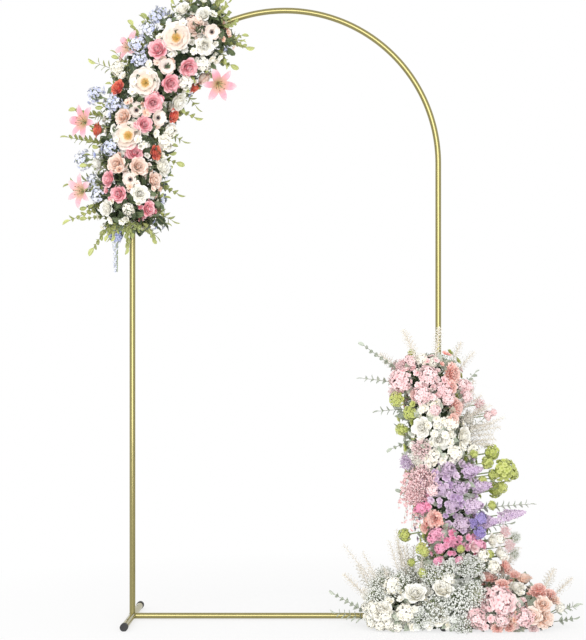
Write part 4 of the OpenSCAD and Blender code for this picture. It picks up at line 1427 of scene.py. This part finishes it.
def filler_places(core, count, low, high):
    """Even places over a core's face and its free ends: the distance along it, the foot, the
    outward direction, the extra reach there, and the node of the nearest flower head with its
    distance in radii."""
    first, last, radius = core_span(core)
    heads = flower_heads[core]
    centres = np.array([head[0] for head in heads])
    radii = np.array([head[1] for head in heads])
    for i in range(count):
        share = (0.5 + STEP_ALONG * i) % 1
        s = first + (last - first) * share
        turn = math.radians(low + (high - low) * ((0.5 + STEP_ROUND * i) % 1))
        middle, out, along = core_place(core, s, turn)
        out = out + along * ((share > 0.95) - (share < 0.05 and core != "column")) * 0.6
        out /= np.linalg.norm(out)
        foot = middle + core_place(core, s, turn)[1] * radius
        spread = core_spread(core) * abs(math.sin(turn))
        near = (centres - foot) - np.outer((centres - foot) @ out, out)
        shares = np.linalg.norm(near, axis=1) / radii
        nearest = int(np.argmin(shares))
        yield s, foot, out, spread, heads[nearest][2], shares[nearest]
    for end, way in ((first, -1), (last, 1)):
        if core == "column" and way < 0:
            continue
        for i in range(count // 16):
            turn = math.radians(low - 30 + (high - low + 60) * ((0.5 + STEP_ROUND * i) % 1))
            middle, aside, along = core_place(core, end, turn)
            foot = middle + aside * radius * math.sqrt((0.5 + STEP_ALONG * i) % 1) * 0.95
            out = way * along + 0.4 * aside
            nearest = int(np.argmin(np.linalg.norm(centres - foot, axis=1)))
            yield end, foot, out / np.linalg.norm(out), 0.0, heads[nearest][2], 1.0


def kept_up(direction, foot, length):
    """A direction turned up from the floor where a stem of that length would reach it."""
    direction = direction / np.linalg.norm(direction)
    if foot[2] + length * direction[2] < LOWEST_END:
        direction[2] = abs(direction[2]) * 0.4 + 0.05
        direction /= np.linalg.norm(direction)
    return direction


class ARCH_OT_filler_leaves(bpy.types.Operator):
    """Cover the foam cores with leaves between the flowers"""

    bl_idname = "arch.filler_leaves"
    bl_label = "Filler Leaves"

    def execute(self, context):
        long_leaf = blooms().leaf_length
        for name, core, count, low, high, kind, slot in (
                # The swag's leaves take the dark green that is partly painted shade for the gaps
                # between the flowers
                ("swag_filler_leaves", "swag", 760, -125, 125, "dark_leaf_painted_shade", "leaf"),
                ("column_filler_leaves", "column", 620, -180, 180, "grey_leaf", "grey_leaf"),
                ("log_filler_leaves", "log", 560, 6, 174, "grey_leaf", "grey_leaf")):
            rng = dice(name)
            leaf = Bunch()
            leaf.petal(1.0, 0.24, (20, 40, 66), tip=0.1, foot=0.15, fold=0.22, rows=4, columns=2,
                       widest=0.45)
            bunch = Bunch()
            for _, foot, out, spread, node, share in filler_places(core, count, low, high):
                if share < (LEAF_NEAR_PEONY if node == "swag_peonies" else LEAF_NEAR_HEAD):
                    continue
                size = long_leaf * rng.uniform(0.7, 1.25)
                reach = spread * rng.random() ** 2
                lean = kept_up(out + 0.9 * rng.normal(0, 0.6, 3), foot, size + reach)
                start = foot + out * (reach - 0.002)
                if reach > 0.01:
                    bunch.stem([foot - 0.002 * out, start], [0.0009, 0.0008], 4)
                bunch.place(leaf, start, facing(lean, ANY_TURN * rng.random()), size,
                            rng.random(), 0.9)
            bunch.to_piece(name, leaf_material(kind), slot)
        return {"FINISHED"}


class ARCH_OT_edge_sprigs(bpy.types.Operator):
    """Add short leaf sprigs along both edges of the swag"""

    bl_idname = "arch.edge_sprigs"
    bl_label = "Edge Sprigs"

    def execute(self, context):
        rng = dice("edge sprigs")
        bunch = Bunch()
        first, last, radius = core_span("swag")
        for i in range(64):
            s = first + (last - first) * (i + 0.5) / 64
            side = 1 if i % 2 else -1
            turn = math.radians(side * rng.uniform(62, 104))
            middle, out, along = core_place("swag", s, turn)
            length = rng.uniform(0.060, 0.100) if side > 0 else rng.uniform(0.05, 0.075)
            lean = out + along * rng.uniform(-0.6, 0.2)
            bunch.place(leafy_sprig(length, rng, 0.030), middle + out * (radius - 0.003),
                        facing(lean, ANY_TURN * rng.random()), 1.0, rng.random(), 0.8)
        for end, sign in ((first, -1), (last, 1)):
            for i in range(14):
                turn = math.radians(-120 + 240 * (i + rng.random()) / 14)
                middle, out, along = core_place("swag", end, turn)
                foot = middle + out * radius * rng.uniform(0.55, 0.97) - 0.004 * sign * along
                lean = sign * along + out * rng.uniform(0.3, 1.1)
                bunch.place(leafy_sprig(rng.uniform(0.045, 0.075), rng, 0.028), foot,
                            facing(lean, ANY_TURN * rng.random()), 1.0, rng.random(), 0.8)
        bunch.to_piece("swag_edge_sprigs", leaf_material("leaf"), "leaf")
        return {"FINISHED"}


class ARCH_OT_fill_heads(bpy.types.Operator):
    """Fill the spray out with more flower heads, each on a stem from the nearest foam core"""

    bl_idname = "arch.fill_heads"
    bl_label = "Fill Heads"

    def execute(self, context):
        plan = layout()
        makers = {"ball": snowball, "cluster": hydrangea, "cloud": breath_cloud, "haze": haze,
                  "rose": rose, "carnation": carnation, "spike": tapered_spike}
        bunches = {}
        for (kind, slot), heads in FILL_HEADS.items():
            rng = dice(kind + slot)
            variants = [makers[kind](rng) for _ in range(2)]
            growth = CLOUD_GROWTH if kind in ("cloud", "haze") else ADDED_GROWTH
            bunch = bunches.setdefault(slot, Bunch())
            for number, (x, y, z, radius) in enumerate(heads):
                place = np.array([plan.arch_x + x, plan.arch_y + y, z])
                core, _, middle, _ = nearest_core(place[None], ["column", "log"])
                out = (place - middle) / np.linalg.norm(place - middle)
                foot = middle + out * (core_span(core)[2] - 0.002)
                if core == "log" and middle[2] < foot[2]:
                    out = kept_up(out, place, 0.0)
                bunch.place(variants[number % 2], place,
                            facing(out + rng.normal(0, 0.12, 3), ANY_TURN * rng.random()),
                            radius * growth, 0.7 * rng.random(), 0.5)
                bunch.stem([foot, place - 0.4 * radius * out], [0.0018, 0.0018], 5)
        for slot, bunch in sorted(bunches.items()):
            bunch.to_piece("spray_filling_" + slot + "s", petal_material(slot),
                           slot.replace("deep_", ""))
        return {"FINISHED"}


class ARCH_OT_feathers(bpy.types.Operator):
    """Add soft feathery plumes: white ones left of the spray's foot, creamy ones at its right"""

    bl_idname = "arch.feathers"
    bl_label = "Soft Feathers"

    def execute(self, context):
        plan = layout()
        for name, slot, tufts in FEATHER_TUFTS:
            rng = dice(name)
            bunch = Bunch()
            for x, y, z, tip_x, tip_y, tip_z, count in tufts:
                foot = np.array([plan.arch_x + x, plan.arch_y + y, z])
                tip = np.array([plan.arch_x + tip_x, plan.arch_y + tip_y, tip_z])
                for _ in range(count):
                    reach = tip - foot + rng.normal(0, 0.014, 3)
                    length = np.linalg.norm(reach) * rng.uniform(0.85, 1.05)
                    bunch.place(feather(length, rng, 0.6), foot + rng.normal(0, 0.004, 3),
                                facing(reach, ANY_TURN * rng.random()), 1.0, 0.6 * rng.random())
            bunch.to_piece(name, petal_material(slot), slot)
        return {"FINISHED"}


class ARCH_OT_filler_blooms(bpy.types.Operator):
    """Fill the gaps between the flower heads with small flowers of the nearest head's colour"""

    bl_idname = "arch.filler_blooms"
    bl_label = "Small Flowers"

    def execute(self, context):
        record = {row["node"]: row["material_slot"] for row in frame["record"]["subparts"]}
        rng = dice("small flowers")
        simple = [small_bloom(rng) for _ in range(4)]
        full = [spray_rose(rng) for _ in range(3)]
        gathered = {}
        for core, count, low, high, keep in (("swag", 900, -108, 108, 0.5),
                                             ("column", 1000, -180, 180, 0.85),
                                             ("log", 780, 6, 174, 0.9)):
            for s, foot, out, spread, node, share in filler_places(core, count, low, high):
                if share < BLOOM_NEAR_HEAD or rng.random() > keep:
                    continue
                slot = record[node]
                if slot in ("leaf", "blush_petal", "red_petal"):
                    slot = "white_petal"
                if core == "column" and s < 0.17:
                    slot = "breath_petal"
                bunch = gathered.setdefault((core, slot), Bunch())
                reach = 0.006 + (0.022 + 0.8 * spread) * rng.random()
                lean = kept_up(out + rng.normal(0, 0.2, 3), foot, reach + 0.014)
                place = foot + lean * reach
                bunch.stem([foot - 0.002 * out, place], [0.0009, 0.0009], 4)
                rosy = core == "swag" and slot != "blue_petal" and rng.random() < 0.35
                bunch.place((full if rosy else simple)[rng.integers(3)], place,
                            facing(lean, ANY_TURN * rng.random()),
                            blooms().small_bloom * rng.uniform(0.75, 1.2), rng.random(), 0.8)
        for (core, slot), bunch in sorted(gathered.items()):
            bunch.to_piece(f"{core}_small_{slot}s", petal_material(slot), slot)
        return {"FINISHED"}


def soft_lamp(name, place, target, size, power):
    """A square area lamp aimed at a point."""
    lamp = bpy.data.lights.new(name, "AREA")
    lamp.shape = "RECTANGLE"
    lamp.size, lamp.size_y = size
    lamp.energy = power
    holder = bpy.data.objects.new(name, lamp)
    holder.location = place
    holder.rotation_euler = (Vector(target) - Vector(place)).to_track_quat("-Z", "Y").to_euler()
    bpy.context.scene.collection.objects.link(holder)


def seen_directly(tree):
    """1 for rays from the camera and through or off a shiny surface, which show the backdrop."""
    path = tree.nodes.new("ShaderNodeLightPath")
    shiny = math_node(tree, "MAXIMUM", path.outputs["Is Glossy Ray"],
                      path.outputs["Is Transmission Ray"])
    return math_node(tree, "MAXIMUM", path.outputs["Is Camera Ray"], shiny)


class ARCH_OT_stage(bpy.types.Operator):
    """Set up the floor, the soft light and the camera"""

    bl_idname = "arch.stage"
    bl_label = "Stage"

    def execute(self, context):
        scene = context.scene
        settings = scene.arch_stage
        scene.view_settings.view_transform = "Standard"
        camera_data = bpy.data.cameras.new("camera")
        camera_data.lens = settings.lens
        camera_data.sensor_width = 36
        camera_data.shift_x, camera_data.shift_y = -0.0406, 0.0625
        camera = bpy.data.objects.new("camera", camera_data)
        camera.location = settings.camera_place
        camera.rotation_euler = (math.pi / 2, 0, 0)
        scene.collection.objects.link(camera)
        scene.camera = camera
        self.add_floor(scene)
        self.add_world(scene, settings.ambient)
        soft_lamp("key", (-2.2, -3.6, 3.2), (0, 0, 0.9), (2.4, 2.4), settings.key_power)
        soft_lamp("front", (0.0, -5.9, 1.9), (0, 0, 1.9), (5.2, 3.7), settings.front_power)
        return {"FINISHED"}

    def add_floor(self, scene):
        """A wide pale floor that brightens to the backdrop's white away from the part."""
        mesh = bpy.data.meshes.new("floor")
        mesh.from_pydata([(-15, -15, 0), (15, -15, 0), (15, 15, 0), (-15, 15, 0)], [],
                         [(0, 1, 2, 3)])
        floor = bpy.data.objects.new("floor", mesh)
        scene.collection.objects.link(floor)
        material = bpy.data.materials.new("pale_floor")
        material.use_nodes = True
        tree = material.node_tree
        shader = tree.nodes["Principled BSDF"]
        shader.inputs["Base Color"].default_value = (0.96, 0.96, 0.96, 1)
        shader.inputs["Roughness"].default_value = 0.8
        glow = tree.nodes.new("ShaderNodeEmission")
        glow.inputs["Color"].default_value = (1, 1, 1, 1)
        texture = tree.nodes.new("ShaderNodeTexCoord")
        length = tree.nodes.new("ShaderNodeVectorMath")
        length.operation = "LENGTH"
        connect(tree, texture.outputs["Object"], length.inputs[0])
        away = range_node(tree, length.outputs["Value"], 0.6, 1.6, 0.72, 1.0)
        seen = math_node(tree, "MULTIPLY", away, seen_directly(tree))
        mix = tree.nodes.new("ShaderNodeMixShader")
        connect(tree, seen, mix.inputs[0])
        connect(tree, shader.outputs[0], mix.inputs[1])
        connect(tree, glow.outputs[0], mix.inputs[2])
        connect(tree, mix.outputs[0], tree.nodes["Material Output"].inputs["Surface"])
        mesh.materials.append(material)

    def add_world(self, scene, ambient):
        """White to the camera, and a soft even light on everything else."""
        world = bpy.data.worlds.new("studio")
        scene.world = world
        world.use_nodes = True
        tree = world.node_tree
        tree.nodes.clear()
        soft = tree.nodes.new("ShaderNodeBackground")
        soft.inputs["Color"].default_value = (1, 1, 1, 1)
        soft.inputs["Strength"].default_value = ambient
        white = tree.nodes.new("ShaderNodeBackground")
        white.inputs["Color"].default_value = (1, 1, 1, 1)
        white.inputs["Strength"].default_value = 1.0
        mix = tree.nodes.new("ShaderNodeMixShader")
        output = tree.nodes.new("ShaderNodeOutputWorld")
        connect(tree, seen_directly(tree), mix.inputs[0])
        connect(tree, soft.outputs[0], mix.inputs[1])
        connect(tree, white.outputs[0], mix.inputs[2])
        connect(tree, mix.outputs[0], output.inputs["Surface"])


OPERATORS = (
    ARCH_OT_frame_finish, ARCH_OT_weld_beads, ARCH_OT_foam_cores, ARCH_OT_roses,
    ARCH_OT_clusters, ARCH_OT_lilies, ARCH_OT_sprigs, ARCH_OT_hanging_flowers,
    ARCH_OT_fill_heads, ARCH_OT_feathers, ARCH_OT_filler_leaves, ARCH_OT_edge_sprigs,
    ARCH_OT_filler_blooms, ARCH_OT_stage,
)


class ARCH_PT_panel(bpy.types.Panel):
    """The arch's settings, and one button for each group of pieces"""

    bl_label = "Wedding Arch"
    bl_idname = "ARCH_PT_panel"
    bl_space_type = "VIEW_3D"
    bl_region_type = "UI"
    bl_category = "Arch"

    def draw(self, context):
        scene = context.scene
        for settings in (scene.arch_layout, scene.arch_finishes, scene.arch_blooms,
                         scene.arch_stage):
            box = self.layout.box()
            for name in settings.__annotations__:
                box.prop(settings, name)
        for operator in OPERATORS:
            self.layout.operator(operator.bl_idname)


SETTINGS = {
    "arch_layout": ArchLayout,
    "arch_finishes": FinishSettings,
    "arch_blooms": BloomSettings,
    "arch_stage": StageSettings,
}


def register():
    for name, group in SETTINGS.items():
        bpy.utils.register_class(group)
        setattr(bpy.types.Scene, name, PointerProperty(type=group))
    for cls in (*OPERATORS, ARCH_PT_panel):
        bpy.utils.register_class(cls)


def unregister():
    for cls in (ARCH_PT_panel, *reversed(OPERATORS)):
        bpy.utils.unregister_class(cls)
    for name, group in SETTINGS.items():
        delattr(bpy.types.Scene, name)
        bpy.utils.unregister_class(group)


def main():
    register()
    for operator in OPERATORS:
        family, action = operator.bl_idname.split(".")
        getattr(getattr(bpy.ops, family), action)()


if __name__ == "__main__":
    main()
